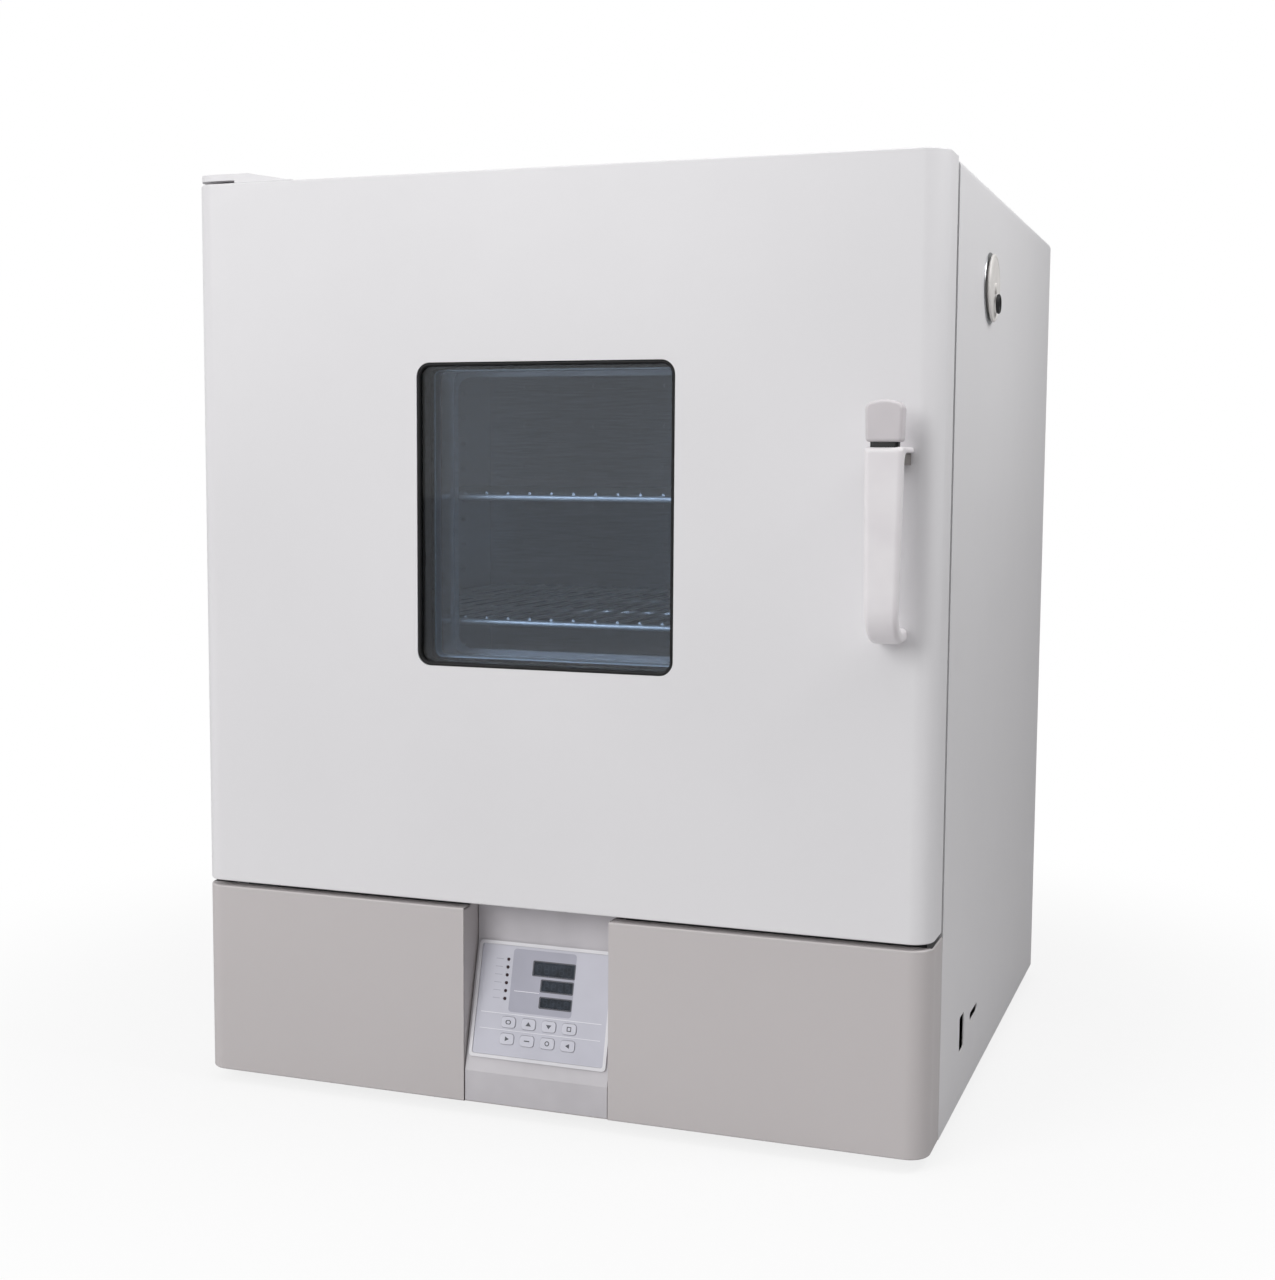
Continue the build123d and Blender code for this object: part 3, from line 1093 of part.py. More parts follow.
# Door gasket: the hollow silicone frame that seals against the front frame
with BuildPart() as door_gasket:
    with BuildSketch(front_plane(DOOR_BACK)):
        panel(
            -CHAMBER_SIDE - GASKET_INSET - GASKET_WIDTH,
            CHAMBER_SIDE + GASKET_INSET + GASKET_WIDTH,
            CHAMBER_FLOOR - GASKET_INSET - GASKET_WIDTH,
            CHAMBER_TOP + GASKET_INSET + GASKET_WIDTH,
            20.0,
        )
        panel(
            -CHAMBER_SIDE - GASKET_INSET,
            CHAMBER_SIDE + GASKET_INSET,
            CHAMBER_FLOOR - GASKET_INSET,
            CHAMBER_TOP + GASKET_INSET,
            20.0 - GASKET_WIDTH,
            Mode.SUBTRACT,
        )
    extrude(amount=-(FRAME_FACE - DOOR_BACK - FIT))
    fillet(door_gasket.faces().sort_by(Axis.Y)[-1].edges(), 3.0)
finish(door_gasket, "door_gasket")

# Window stack: rubber gasket, outer pane, spacer, inner pane and the bright reveal behind them
GLASS_START = FRONT + SHEET + 2.0
SPACER_START = GLASS_START + GLASS_THICKNESS
PANE_START = SPACER_START + SPACER_DEPTH
REVEAL_START = PANE_START + GLASS_THICKNESS
LIP_CORNER = WINDOW_CORNER - GASKET_LIP


def window_ring(y, depth, outer_growth, inner_growth):
    """Adds a rounded frame round the window, grown or shrunk from the opening, to the open part."""
    with BuildSketch(front_plane(y)) as ring:
        with Locations((0, WINDOW_Z)):
            RectangleRounded(
                WINDOW_WIDTH + 2 * outer_growth,
                WINDOW_HEIGHT + 2 * outer_growth,
                WINDOW_CORNER + outer_growth,
            )
            if inner_growth is not None:
                RectangleRounded(
                    WINDOW_WIDTH + 2 * inner_growth,
                    WINDOW_HEIGHT + 2 * inner_growth,
                    max(WINDOW_CORNER + inner_growth, 2.0),
                    mode=Mode.SUBTRACT,
                )
    extrude(ring.sketch, amount=-depth)


with BuildPart() as window_gasket:
    window_ring(FRONT + 0.4, GLASS_START - FRONT - 0.4, -0.2, -GASKET_LIP)
    window_ring(FRONT + SHEET, GLASS_START - FRONT - SHEET, GLASS_LAP, -GASKET_LIP)
finish(window_gasket, "window_gasket")

with BuildPart() as window_glass_outer:
    window_ring(GLASS_START, GLASS_THICKNESS, GLASS_LAP, None)
finish(window_glass_outer, "window_glass_outer")

with BuildPart() as glass_spacer:
    window_ring(SPACER_START, SPACER_DEPTH, GLASS_LAP, -GASKET_LIP)
finish(glass_spacer, "glass_spacer")

with BuildPart() as window_glass_inner:
    window_ring(PANE_START, GLASS_THICKNESS, GLASS_LAP, None)
finish(window_glass_inner, "window_glass_inner")

with BuildPart() as window_reveal:
    window_ring(REVEAL_START, SHEET, GLASS_LAP, -GASKET_LIP - REVEAL_STEP)
    window_ring(
        REVEAL_START,
        DOOR_BACK + PLUG_DEPTH - SHEET - REVEAL_START,
        SHEET - GASKET_LIP - REVEAL_STEP,
        -GASKET_LIP - REVEAL_STEP,
    )
finish(window_reveal, "window_reveal")

# Door insulation: a board in the skin, cut out round the window stack and the latch
HINGE_ROOM = 26.0
LATCH_ROOM = 62.0
with BuildPart() as door_insulation:
    with BuildSketch(Plane.XY.offset(DOOR_BOTTOM + SHEET + FIT)) as board_plan:
        panel(LEFT + HINGE_ROOM, RIGHT - LATCH_ROOM, FRONT + SHEET + FIT, DOOR_BACK - SHEET - FIT)
    extrude(amount=TOP - DOOR_BOTTOM - 2 * SHEET - 2 * FIT)
    with BuildSketch(front_plane(FRONT)):
        with Locations((0, WINDOW_Z)):
            RectangleRounded(
                WINDOW_WIDTH + 2 * GLASS_LAP + 1.0,
                WINDOW_HEIGHT + 2 * GLASS_LAP + 1.0,
                WINDOW_CORNER + GLASS_LAP,
            )
    extrude(amount=-DOOR_THICKNESS, mode=Mode.SUBTRACT)
finish(door_insulation, "door_insulation")

# Handle: a moulded bow whose top foot is hollow for the latch arm
HANDLE_FACE = FRONT - HANDLE_REACH
BAR_BACK = HANDLE_FACE + BAR_THICKNESS
HANDLE_SWEEP = 30.0
with BuildPart() as handle:
    with BuildSketch(Plane.YZ.offset(HANDLE_X - HANDLE_TOP_WIDTH / 2)) as bow:
        with BuildLine():
            bow_line = FilletPolyline(
                (FRONT, HANDLE_Z1),
                (HANDLE_FACE, HANDLE_Z1),
                (HANDLE_FACE, HANDLE_Z0),
                (FRONT, HANDLE_Z0),
                radius=[4.0, HANDLE_SWEEP],
            )
            inner_line = FilletPolyline(
                (FRONT, HANDLE_Z1 - FOOT_THICKNESS),
                (BAR_BACK, HANDLE_Z1 - FOOT_THICKNESS),
                (BAR_BACK, HANDLE_Z0 + BAR_THICKNESS),
                (FRONT, HANDLE_Z0 + BAR_THICKNESS),
                radius=[8.0, HANDLE_SWEEP - BAR_THICKNESS],
            )
            Line((FRONT, HANDLE_Z1), (FRONT, HANDLE_Z1 - FOOT_THICKNESS))
            Line((FRONT, HANDLE_Z0), (FRONT, HANDLE_Z0 + BAR_THICKNESS))
        make_face()
    extrude(amount=HANDLE_TOP_WIDTH)
    with BuildSketch(front_plane(FRONT)) as handle_front:
        with BuildLine():
            FilletPolyline(
                (HANDLE_X - HANDLE_TOP_WIDTH / 2, HANDLE_Z1),
                (HANDLE_X - HANDLE_BAR_WIDTH / 2, HANDLE_Z1 - 40.0),
                (HANDLE_X - HANDLE_BAR_WIDTH / 2, HANDLE_Z0),
                (HANDLE_X + HANDLE_BAR_WIDTH / 2, HANDLE_Z0),
                (HANDLE_X + HANDLE_BAR_WIDTH / 2, HANDLE_Z1 - 40.0),
                (HANDLE_X + HANDLE_TOP_WIDTH / 2, HANDLE_Z1),
                radius=[60.0, 11.0, 11.0, 60.0],
            )
            Line(
                (HANDLE_X - HANDLE_TOP_WIDTH / 2, HANDLE_Z1),
                (HANDLE_X + HANDLE_TOP_WIDTH / 2, HANDLE_Z1),
            )
        make_face()
    extrude(amount=HANDLE_REACH, mode=Mode.INTERSECT)
    ARM_ROOM_TOP = ARM_Z + ARM_THICKNESS / 2 + 0.8
    ARM_ROOM_BOTTOM = ARM_Z - ARM_THICKNESS / 2 - BUTTON_TRAVEL - 0.8
    WELL_HALF = ARM_WIDTH / 2 + 1.0
    with BuildSketch(front_plane(FRONT)):
        panel(LATCH_X - WELL_HALF, LATCH_X + WELL_HALF, ARM_ROOM_BOTTOM, ARM_ROOM_TOP)
    extrude(amount=HANDLE_REACH - 2.5, mode=Mode.SUBTRACT)
    with BuildSketch(Plane.XY.offset(HANDLE_Z1)):
        panel(
            LATCH_X - WELL_HALF, LATCH_X + WELL_HALF, HANDLE_FACE + 2.5, HANDLE_FACE + BAR_THICKNESS
        )
    extrude(amount=-(HANDLE_Z1 - ARM_ROOM_BOTTOM), mode=Mode.SUBTRACT)
finish(handle, "handle")

# Handle button: a domed thumb cap over the bar, with a stem down to the latch arm
BUTTON_Z0 = HANDLE_Z1 + BUTTON_GAP
BUTTON_Y1 = HANDLE_FACE + BUTTON_DEPTH
with BuildPart() as handle_button:
    with BuildSketch(front_plane(BUTTON_Y1)) as button_face:
        with BuildLine():
            under = ThreePointArc(
                (HANDLE_X - BUTTON_WIDTH / 2, BUTTON_Z0 + 0.8),
                (HANDLE_X, BUTTON_Z0),
                (HANDLE_X + BUTTON_WIDTH / 2, BUTTON_Z0 + 0.8),
            )
            crown = ThreePointArc(
                (HANDLE_X - BUTTON_WIDTH / 2, BUTTON_Z0 + BUTTON_HEIGHT - 3.0),
                (HANDLE_X, BUTTON_Z0 + BUTTON_HEIGHT),
                (HANDLE_X + BUTTON_WIDTH / 2, BUTTON_Z0 + BUTTON_HEIGHT - 3.0),
            )
            Line(under @ 0, crown @ 0)
            Line(under @ 1, crown @ 1)
        make_face()
        fillet(button_face.vertices().group_by(Axis.Y)[-1], 10.0)
        fillet(button_face.vertices().group_by(Axis.Y)[0], 2.0)
    extrude(amount=BUTTON_DEPTH)
    fillet(handle_button.faces().sort_by(Axis.Y)[0].edges(), 1.6)
    with BuildSketch(Plane.XY.offset(BUTTON_Z0 + 2.0)):
        panel(
            LATCH_X - ARM_WIDTH / 2, LATCH_X + ARM_WIDTH / 2, HANDLE_FACE + 4.0, HANDLE_FACE + 8.0
        )
    extrude(amount=-(BUTTON_Z0 + 2.0 - ARM_Z - ARM_THICKNESS / 2 - FIT))
finish(handle_button, "handle_button")

# Latch bracket: two ears and a pivot pin on the back of the door skin
PIVOT_Y = FRONT + LATCH_PIVOT_DEPTH
EAR_GAP = ARM_WIDTH / 2 + 0.5
with BuildPart() as latch_bracket:
    with BuildSketch(front_plane(FRONT + SHEET)):
        panel(LATCH_X - EAR_GAP - 2, LATCH_X + EAR_GAP + 2, ARM_Z - 16.0, ARM_Z + 16.0)
        panel(LATCH_X - EAR_GAP, LATCH_X + EAR_GAP, ARM_Z - 6.5, ARM_Z + 4.0, mode=Mode.SUBTRACT)
    extrude(amount=-2.0)
    with BuildSketch(Plane.YZ.offset(LATCH_X - EAR_GAP - 2)):
        panel(FRONT + SHEET, PIVOT_Y + 6.0, ARM_Z - 8.0, ARM_Z + 8.0)
    extrude(amount=2.0)
    with BuildSketch(Plane.YZ.offset(LATCH_X + EAR_GAP)):
        panel(FRONT + SHEET, PIVOT_Y + 6.0, ARM_Z - 8.0, ARM_Z + 8.0)
    extrude(amount=2.0)
    with BuildSketch(Plane.YZ.offset(LATCH_X - EAR_GAP)):
        disc(PIVOT_Y, ARM_Z, LATCH_PIN_RADIUS)
    extrude(amount=2 * EAR_GAP)
finish(latch_bracket, "latch_bracket")

# Latch hook: a rocker that the button tips, with its nose over the strike pin
STRIKE_Y = CABINET_FRONT - 11.0
HOOK_END = STRIKE_Y + STRIKE_PIN_RADIUS + 4.6
with BuildPart() as latch_hook:
    with BuildSketch(Plane.YZ.offset(LATCH_X - ARM_WIDTH / 2)):
        disc(PIVOT_Y, ARM_Z, LATCH_PIN_RADIUS + 3.0)
        panel(HANDLE_FACE + 3.2, PIVOT_Y, ARM_Z - ARM_THICKNESS / 2, ARM_Z + ARM_THICKNESS / 2)
    extrude(amount=ARM_WIDTH)
    with BuildSketch(Plane.YZ.offset(LATCH_X - HOOK_THICKNESS / 2)):
        with BuildLine():
            Polyline(
                (PIVOT_Y, ARM_Z + HOOK_HEIGHT / 2),
                (HOOK_END - 3.0, ARM_Z + HOOK_HEIGHT / 2),
                (HOOK_END, ARM_Z + HOOK_HEIGHT / 2 - 3.0),
                (HOOK_END, HOOK_TIP_Z + 2.0),
                (HOOK_END - 2.0, HOOK_TIP_Z),
                (HOOK_END - 4.6, HOOK_TIP_Z),
                (HOOK_END - 4.6, ARM_Z - HOOK_HEIGHT / 2),
                (PIVOT_Y, ARM_Z - HOOK_HEIGHT / 2),
                close=True,
            )
        make_face()
    extrude(amount=HOOK_THICKNESS)
    with BuildSketch(Plane.YZ.offset(LATCH_X - ARM_WIDTH / 2)):
        disc(PIVOT_Y, ARM_Z, LATCH_PIN_RADIUS + RUNNING)
    extrude(amount=ARM_WIDTH, mode=Mode.SUBTRACT)
finish(latch_hook, "latch_hook")

# Latch strike: a plate on the front frame with two ears and a cross pin
STRIKE_EAR = HOOK_THICKNESS / 2 + 1.0
with BuildPart() as latch_strike:
    with BuildSketch(front_plane(FRAME_FACE - 2.0)):
        panel(LATCH_X - STRIKE_EAR - 2, RIGHT - CASING_FLANGE - 1.0, STRIKE_Z - 14.0, STRIKE_Z + 6.0)
    extrude(amount=-2.0)
    for ear in (LATCH_X - STRIKE_EAR - 2, LATCH_X + STRIKE_EAR):
        with BuildSketch(Plane.YZ.offset(ear)):
            panel(STRIKE_Y - 4.0, FRAME_FACE, STRIKE_Z - 4.0, STRIKE_Z + 4.0)
        extrude(amount=2.0)
    with BuildSketch(Plane.YZ.offset(LATCH_X - STRIKE_EAR)):
        disc(STRIKE_Y, STRIKE_Z, STRIKE_PIN_RADIUS)
    extrude(amount=2 * STRIKE_EAR)
finish(latch_strike, "latch_strike")

# Hinge bushes: flanged sleeves in the top and bottom edges of the door
with BuildPart() as hinge_bushes:
    for level, up in ((TOP, 1), (DOOR_BOTTOM, -1)):
        with BuildSketch(Plane.XY.offset(level)):
            disc(HINGE_X, HINGE_Y, BUSH_RADIUS)
            disc(HINGE_X, HINGE_Y, HINGE_PIN_RADIUS + RUNNING, Mode.SUBTRACT)
        extrude(amount=-up * (HINGE_PIN_LENGTH + FIT))
        with BuildSketch(Plane.XY.offset(level)):
            disc(HINGE_X, HINGE_Y, BUSH_RADIUS + 2.0)
            disc(HINGE_X, HINGE_Y, HINGE_PIN_RADIUS + RUNNING, Mode.SUBTRACT)
        extrude(amount=up * 0.7)
finish(hinge_bushes, "hinge_bushes")

# Upper hinge bracket: a tapered plate over the corner of the door, with its pin
with BuildPart() as upper_hinge_bracket:
    with BuildSketch(front_plane(FRONT + 4.0)):
        with BuildLine():
            Polyline(
                (LEFT + 1.0, TOP),
                (LEFT + 1.0, TOP + BRACKET_RISE - 1.5),
                (LEFT + 3.0, TOP + BRACKET_RISE),
                (LEFT + BRACKET_FLAT, TOP + BRACKET_RISE),
                (LEFT + BRACKET_LENGTH - 6.0, TOP + 1.8),
                (LEFT + BRACKET_LENGTH, TOP + 1.2),
                (LEFT + BRACKET_LENGTH, TOP),
                close=True,
            )
        make_face()
    extrude(amount=-(CABINET_FRONT + BRACKET_SEAT - FRONT - 4.0))
    fillet(
        upper_hinge_bracket.edges().filter_by(Axis.Z).group_by(Axis.X)[0].sort_by(Axis.Y)[0],
        14.0,
    )
    with BuildSketch(front_plane(FRONT)):
        panel(LEFT, RIGHT, TOP, TOP + 0.5)
        panel(LEFT, LEFT + 42.0, TOP, TOP + BRACKET_GAP)
    extrude(amount=-(CABINET_FRONT - FRONT), mode=Mode.SUBTRACT)
    with BuildSketch(Plane.XY.offset(TOP + BRACKET_GAP)):
        disc(HINGE_X, HINGE_Y, HINGE_PIN_RADIUS)
    extrude(amount=-(HINGE_PIN_LENGTH + BRACKET_GAP))
finish(upper_hinge_bracket, "upper_hinge_bracket")

# Lower hinge bracket: a bent plate from the front frame out under the door, with its pin
with BuildPart() as lower_hinge_bracket:
    with BuildSketch(Plane.XY.offset(DOOR_BOTTOM - 0.7 - FIT)):
        disc(HINGE_X, HINGE_Y, 9.0)
        panel(LEFT + CASING_FLANGE + 1.0, LEFT + 50.0, HINGE_Y - 9.0, FRAME_FACE)
        panel(HINGE_X, LEFT + 50.0, HINGE_Y - 9.0, HINGE_Y + 9.0)
    extrude(amount=-PLATE_THICKNESS)
    with BuildSketch(front_plane(FRAME_FACE - PLATE_THICKNESS)):
        panel(
            LEFT + CASING_FLANGE + 1.0,
            LEFT + 50.0,
            FRAME_BOTTOM,
            DOOR_BOTTOM - 0.7 - FIT,
        )
    extrude(amount=-PLATE_THICKNESS)
    with BuildSketch(Plane.XY.offset(DOOR_BOTTOM - 0.7 - FIT)):
        disc(HINGE_X, HINGE_Y, HINGE_PIN_RADIUS)
    extrude(amount=HINGE_PIN_LENGTH)
finish(lower_hinge_bracket, "lower_hinge_bracket")

# Shelves: a bent rail frame, two cross rods under it and close wires from front to back
SHELF_WIDTH = 2 * (UPRIGHT_X - 3.0) - 2 * RAIL_RADIUS
SHELF_FRONT = CABINET_FRONT + SHELF_SETBACK
SHELF_DEPTH = CHAMBER_BACK - SHELF_BACK_GAP - SHELF_FRONT
RAIL_CORNER = 22.0
CROSS_RADIUS = 2.5
with BuildPart() as shelf_form:
    with BuildLine() as rail_path:
        FilletPolyline(
            (SHELF_WIDTH / 2, SHELF_FRONT),
            (SHELF_WIDTH / 2, SHELF_FRONT + SHELF_DEPTH),
            (-SHELF_WIDTH / 2, SHELF_FRONT + SHELF_DEPTH),
            (-SHELF_WIDTH / 2, SHELF_FRONT),
            radius=RAIL_CORNER,
            close=True,
        )
    with BuildSketch(Plane(rail_path.line @ 0, z_dir=rail_path.line % 0)):
        Circle(RAIL_RADIUS)
    sweep()
    with BuildSketch(Plane.YZ.offset(-SHELF_WIDTH / 2)):
        for share in (0.34, 0.66):
            disc(SHELF_FRONT + SHELF_DEPTH * share, 0, CROSS_RADIUS)
    extrude(amount=SHELF_WIDTH)
    with BuildSketch(front_plane(SHELF_FRONT - 1.0)):
        with Locations((0, RAIL_RADIUS + WIRE_RADIUS - 0.8)):
            with GridLocations(SHELF_WIDTH / (WIRE_COUNT + 1), 1, WIRE_COUNT, 1):
                Circle(WIRE_RADIUS)
    extrude(amount=-(SHELF_DEPTH + 2.0))
for shelf_name, rest in zip(("shelf_lower", "shelf_upper"), SHELF_REST):
    with BuildPart() as shelf:
        with Locations((0, 0, rest + RAIL_RADIUS)):
            add(shelf_form.part)
    finish(shelf, shelf_name)

# Cabinet screws: pan heads that hold the back cover and the upper hinge bracket
HEAD_RADIUS = 3.6
HEAD_HEIGHT = 2.4
with BuildPart() as cabinet_screws:
    with BuildSketch(front_plane(BACK)):
        with Locations((0, BOTTOM + BODY_HEIGHT / 2)):
            with GridLocations(BODY_WIDTH - 26.0, BODY_HEIGHT / 4 - 8.0, 2, 5):
                Circle(HEAD_RADIUS)
    extrude(amount=-HEAD_HEIGHT)
    with BuildSketch(Plane.XY.offset(TOP + BRACKET_RISE)):
        with Locations((LEFT + 28.0, CABINET_FRONT + BRACKET_SEAT / 2)):
            with GridLocations(30.0, 40.0, 2, 2):
                Circle(HEAD_RADIUS)
    extrude(amount=HEAD_HEIGHT)
finish(cabinet_screws, "cabinet_screws")
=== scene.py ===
"""Looks of a forced-air drying oven, laid out as an add-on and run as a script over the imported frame."""

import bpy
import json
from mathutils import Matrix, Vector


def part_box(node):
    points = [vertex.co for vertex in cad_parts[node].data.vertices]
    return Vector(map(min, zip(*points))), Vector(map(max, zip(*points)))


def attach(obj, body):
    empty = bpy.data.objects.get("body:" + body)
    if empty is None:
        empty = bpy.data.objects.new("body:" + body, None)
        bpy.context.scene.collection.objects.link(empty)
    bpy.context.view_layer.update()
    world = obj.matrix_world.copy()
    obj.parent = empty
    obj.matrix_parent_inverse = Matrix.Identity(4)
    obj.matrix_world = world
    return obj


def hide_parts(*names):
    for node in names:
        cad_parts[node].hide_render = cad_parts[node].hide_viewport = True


bl_info = {
    "name": "Forced-air drying oven",
    "version": (1, 0, 0),
    "blender": (4, 5, 0),
    "location": "View3D > Sidebar > Oven",
    "description": "Finishes and details a laboratory drying oven round its solid frame",
    "category": "Object",
}

import json
import math

import bmesh
import bpy
from bpy.props import FloatProperty, FloatVectorProperty, IntProperty, PointerProperty
from mathutils import Matrix, Vector

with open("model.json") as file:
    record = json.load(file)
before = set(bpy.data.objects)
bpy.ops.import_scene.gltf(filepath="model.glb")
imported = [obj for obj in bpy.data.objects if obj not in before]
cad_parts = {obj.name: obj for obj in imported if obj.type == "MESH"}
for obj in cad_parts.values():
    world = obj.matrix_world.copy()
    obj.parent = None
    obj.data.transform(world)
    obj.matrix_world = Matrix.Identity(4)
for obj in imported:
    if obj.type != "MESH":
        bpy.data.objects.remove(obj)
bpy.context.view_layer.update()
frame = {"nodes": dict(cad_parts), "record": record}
NODES = frame["nodes"]
MM = 0.001
PAST = 0.010  # how far a cutter reaches past the face that it cuts


def linear(text):
    """Turns an sRGB hex colour into the linear values that a shader takes."""
    parts = [int(text[i : i + 2], 16) / 255 for i in (0, 2, 4)]
    return tuple(c / 12.92 if c <= 0.04045 else ((c + 0.055) / 1.055) ** 2.4 for c in parts)


def paint(text):
    """The same colour with full opacity, for a colour socket."""
    return (*linear(text), 1.0)


# ---- Sizes and colours that a user would change


def length(name, description, default):
    """A length in metres."""
    return FloatProperty(name=name, description=description, default=default, unit="LENGTH")


def colour(name, description, default):
    """A colour, given as sRGB hex."""
    return FloatVectorProperty(
        name=name, description=description, subtype="COLOR", default=linear(default)
    )


class OvenSizes(bpy.types.PropertyGroup):
    """Sizes of the details that are made here"""

    skin_round: length("Door corner", "Radius of the door's upright edges", 0.020)
    sheet: length("Sheet", "Thickness of the folded sheets", 0.0015)
    edge: length("Folded edge", "Outside radius of a folded edge", 0.0016)
    wire: length("Shelf wire", "Radius of a shelf wire", 0.0015)
    wires: IntProperty(name="Shelf wires", description="Wires from front to back", default=25)
    screw: length("Screw head", "Radius of a pan head", 0.0036)


class OvenColours(bpy.types.PropertyGroup):
    """Colours of the main finishes"""

    door: colour("Pale enamel", "Door and casing", "E9E8EA")
    cover: colour("Grey enamel", "Lower front cover", "C9C4C4")
    button: colour("Thumb button", "Grey moulded button", "D2CDD0")
    panel: colour("Control panel", "Printed membrane", "C4C4CF")


def sizes():
    """The sizes in this scene."""
    return bpy.context.scene.oven_sizes


def colours():
    """The colours in this scene."""
    return bpy.context.scene.oven_colours


# ---- Finishes


def add_node(tree, kind, inputs=None, **settings):
    """Adds a node, sets its options, and fills or links its inputs."""
    made = tree.nodes.new(kind)
    for name, value in settings.items():
        setattr(made, name, value)
    for key, value in (inputs or {}).items():
        if isinstance(value, bpy.types.NodeSocket):
            tree.links.new(value, made.inputs[key])
        else:
            made.inputs[key].default_value = value
    return made


def maths(tree, operation, one, two):
    """A number worked out from two others."""
    return add_node(tree, "ShaderNodeMath", {0: one, 1: two}, operation=operation).outputs[0]


def finish_start(name, **values):
    """Starts a material: returns it, its tree, its shader and the object coordinates."""
    made = bpy.data.materials.new(name)
    made.use_nodes = True
    tree = made.node_tree
    tree.nodes.clear()
    shader = add_node(tree, "ShaderNodeBsdfPrincipled", values)
    out = add_node(tree, "ShaderNodeOutputMaterial")
    tree.links.new(shader.outputs[0], out.inputs[0])
    place = add_node(tree, "ShaderNodeTexCoord").outputs["Object"]
    return made, tree, shader, place


def noise(tree, place, size_mm, stretch=(1, 1, 1), detail=2.0):
    """A noise whose features are about size_mm wide, drawn out along the axes with a low stretch."""
    laid = add_node(tree, "ShaderNodeMapping", {"Vector": place, "Scale": stretch}).outputs[0]
    inputs = {"Vector": laid, "Scale": 1000 / size_mm, "Detail": detail}
    return add_node(tree, "ShaderNodeTexNoise", inputs).outputs["Fac"]


def between(tree, amount, low, high, start=0.35, end=0.65):
    """Blends two colours by a pattern."""
    ramp = add_node(tree, "ShaderNodeValToRGB", {"Fac": amount})
    for stop, position, tone in zip(ramp.color_ramp.elements, (start, end), (low, high)):
        stop.position = position
        stop.color = tone
    return ramp.outputs[0]


def ranged(tree, amount, low, high):
    """Spreads a pattern between two numbers."""
    return add_node(
        tree, "ShaderNodeMapRange", {"Value": amount, "To Min": low, "To Max": high}
    ).outputs[0]


def raised(tree, shader, height, distance_mm, strength=1.0):
    """Bumps the shader's surface by a pattern."""
    inputs = {"Height": height, "Distance": distance_mm * MM, "Strength": strength}
    tree.links.new(add_node(tree, "ShaderNodeBump", inputs).outputs[0], shader.inputs["Normal"])


def shade(tone, factor):
    """A colour made darker or lighter, for a colour socket."""
    return (*[min(1.0, c * factor) for c in tone[:3]], 1.0)


def enamel(name, tone, roughness=0.36):
    """Baked powder coat on steel: slightly wavy like orange peel, with a soft gloss."""
    made, tree, shader, place = finish_start(name, **{"IOR": 1.5, "Specular IOR Level": 0.42})
    broad = noise(tree, place, 260, detail=1.0)
    cloud = between(tree, broad, shade(tone, 0.985), shade(tone, 1.01))
    tree.links.new(cloud, shader.inputs["Base Color"])
    fine = noise(tree, place, 34)
    gloss = ranged(tree, fine, roughness - 0.05, roughness + 0.06)
    tree.links.new(gloss, shader.inputs["Roughness"])
    # Orange peel of powder coat is about 2 mm from crest to crest
    raised(tree, shader, noise(tree, place, 2.2, detail=1.0), 0.02, 0.35)
    return made


def moulded(name, low, high, roughness=0.45, grain_mm=0.5, depth_mm=0.02):
    """Injection-moulded plastic with the fine spark grain of its tool."""
    made, tree, shader, place = finish_start(name, **{"IOR": 1.54})
    soft = noise(tree, place, 40)
    tree.links.new(between(tree, soft, low, high), shader.inputs["Base Color"])
    grain = noise(tree, place, grain_mm, detail=3.0)
    gloss = ranged(tree, grain, roughness - 0.08, roughness + 0.08)
    tree.links.new(gloss, shader.inputs["Roughness"])
    raised(tree, shader, grain, depth_mm, 0.4)
    return made


def brushed(name, low, high, along=(0.02, 1, 1), roughness=0.30, line_mm=0.7):
    """Rolled or brushed metal: hair lines along one direction over a faint cloudiness."""
    made, tree, shader, place = finish_start(name, **{"Metallic": 1.0})
    lines = noise(tree, place, line_mm, stretch=along, detail=3.0)
    cloud = noise(tree, place, 90)
    tree.links.new(between(tree, lines, low, high, 0.2, 0.8), shader.inputs["Base Color"])
    gloss = ranged(tree, cloud, roughness - 0.05, roughness + 0.09)
    tree.links.new(gloss, shader.inputs["Roughness"])
    raised(tree, shader, lines, 0.02, 0.25)
    return made


def rubber(name, low, high, roughness=0.7, grain_mm=0.8):
    """Extruded or moulded elastomer: dull, with a fine dusty grain."""
    made, tree, shader, place = finish_start(name, **{"IOR": 1.52, "Specular IOR Level": 0.3})
    dust = noise(tree, place, 14, detail=4.0)
    tree.links.new(between(tree, dust, low, high, 0.3, 0.7), shader.inputs["Base Color"])
    gloss = ranged(tree, dust, roughness - 0.1, roughness + 0.1)
    tree.links.new(gloss, shader.inputs["Roughness"])
    raised(tree, shader, noise(tree, place, grain_mm), 0.03, 0.4)
    return made


def wool(name, low, high):
    """Glass wool board: long matted fibres in two directions, fully matt."""
    made, tree, shader, place = finish_start(
        name, **{"Roughness": 0.95, "Specular IOR Level": 0.1}
    )
    across = noise(tree, place, 2.0, stretch=(0.15, 1, 1), detail=4.0)
    along = noise(tree, place, 2.0, stretch=(1, 1, 0.15), detail=4.0)
    both = maths(tree, "MULTIPLY", across, along)
    tree.links.new(between(tree, both, low, high, 0.12, 0.42), shader.inputs["Base Color"])
    raised(tree, shader, both, 1.5, 0.8)
    return made


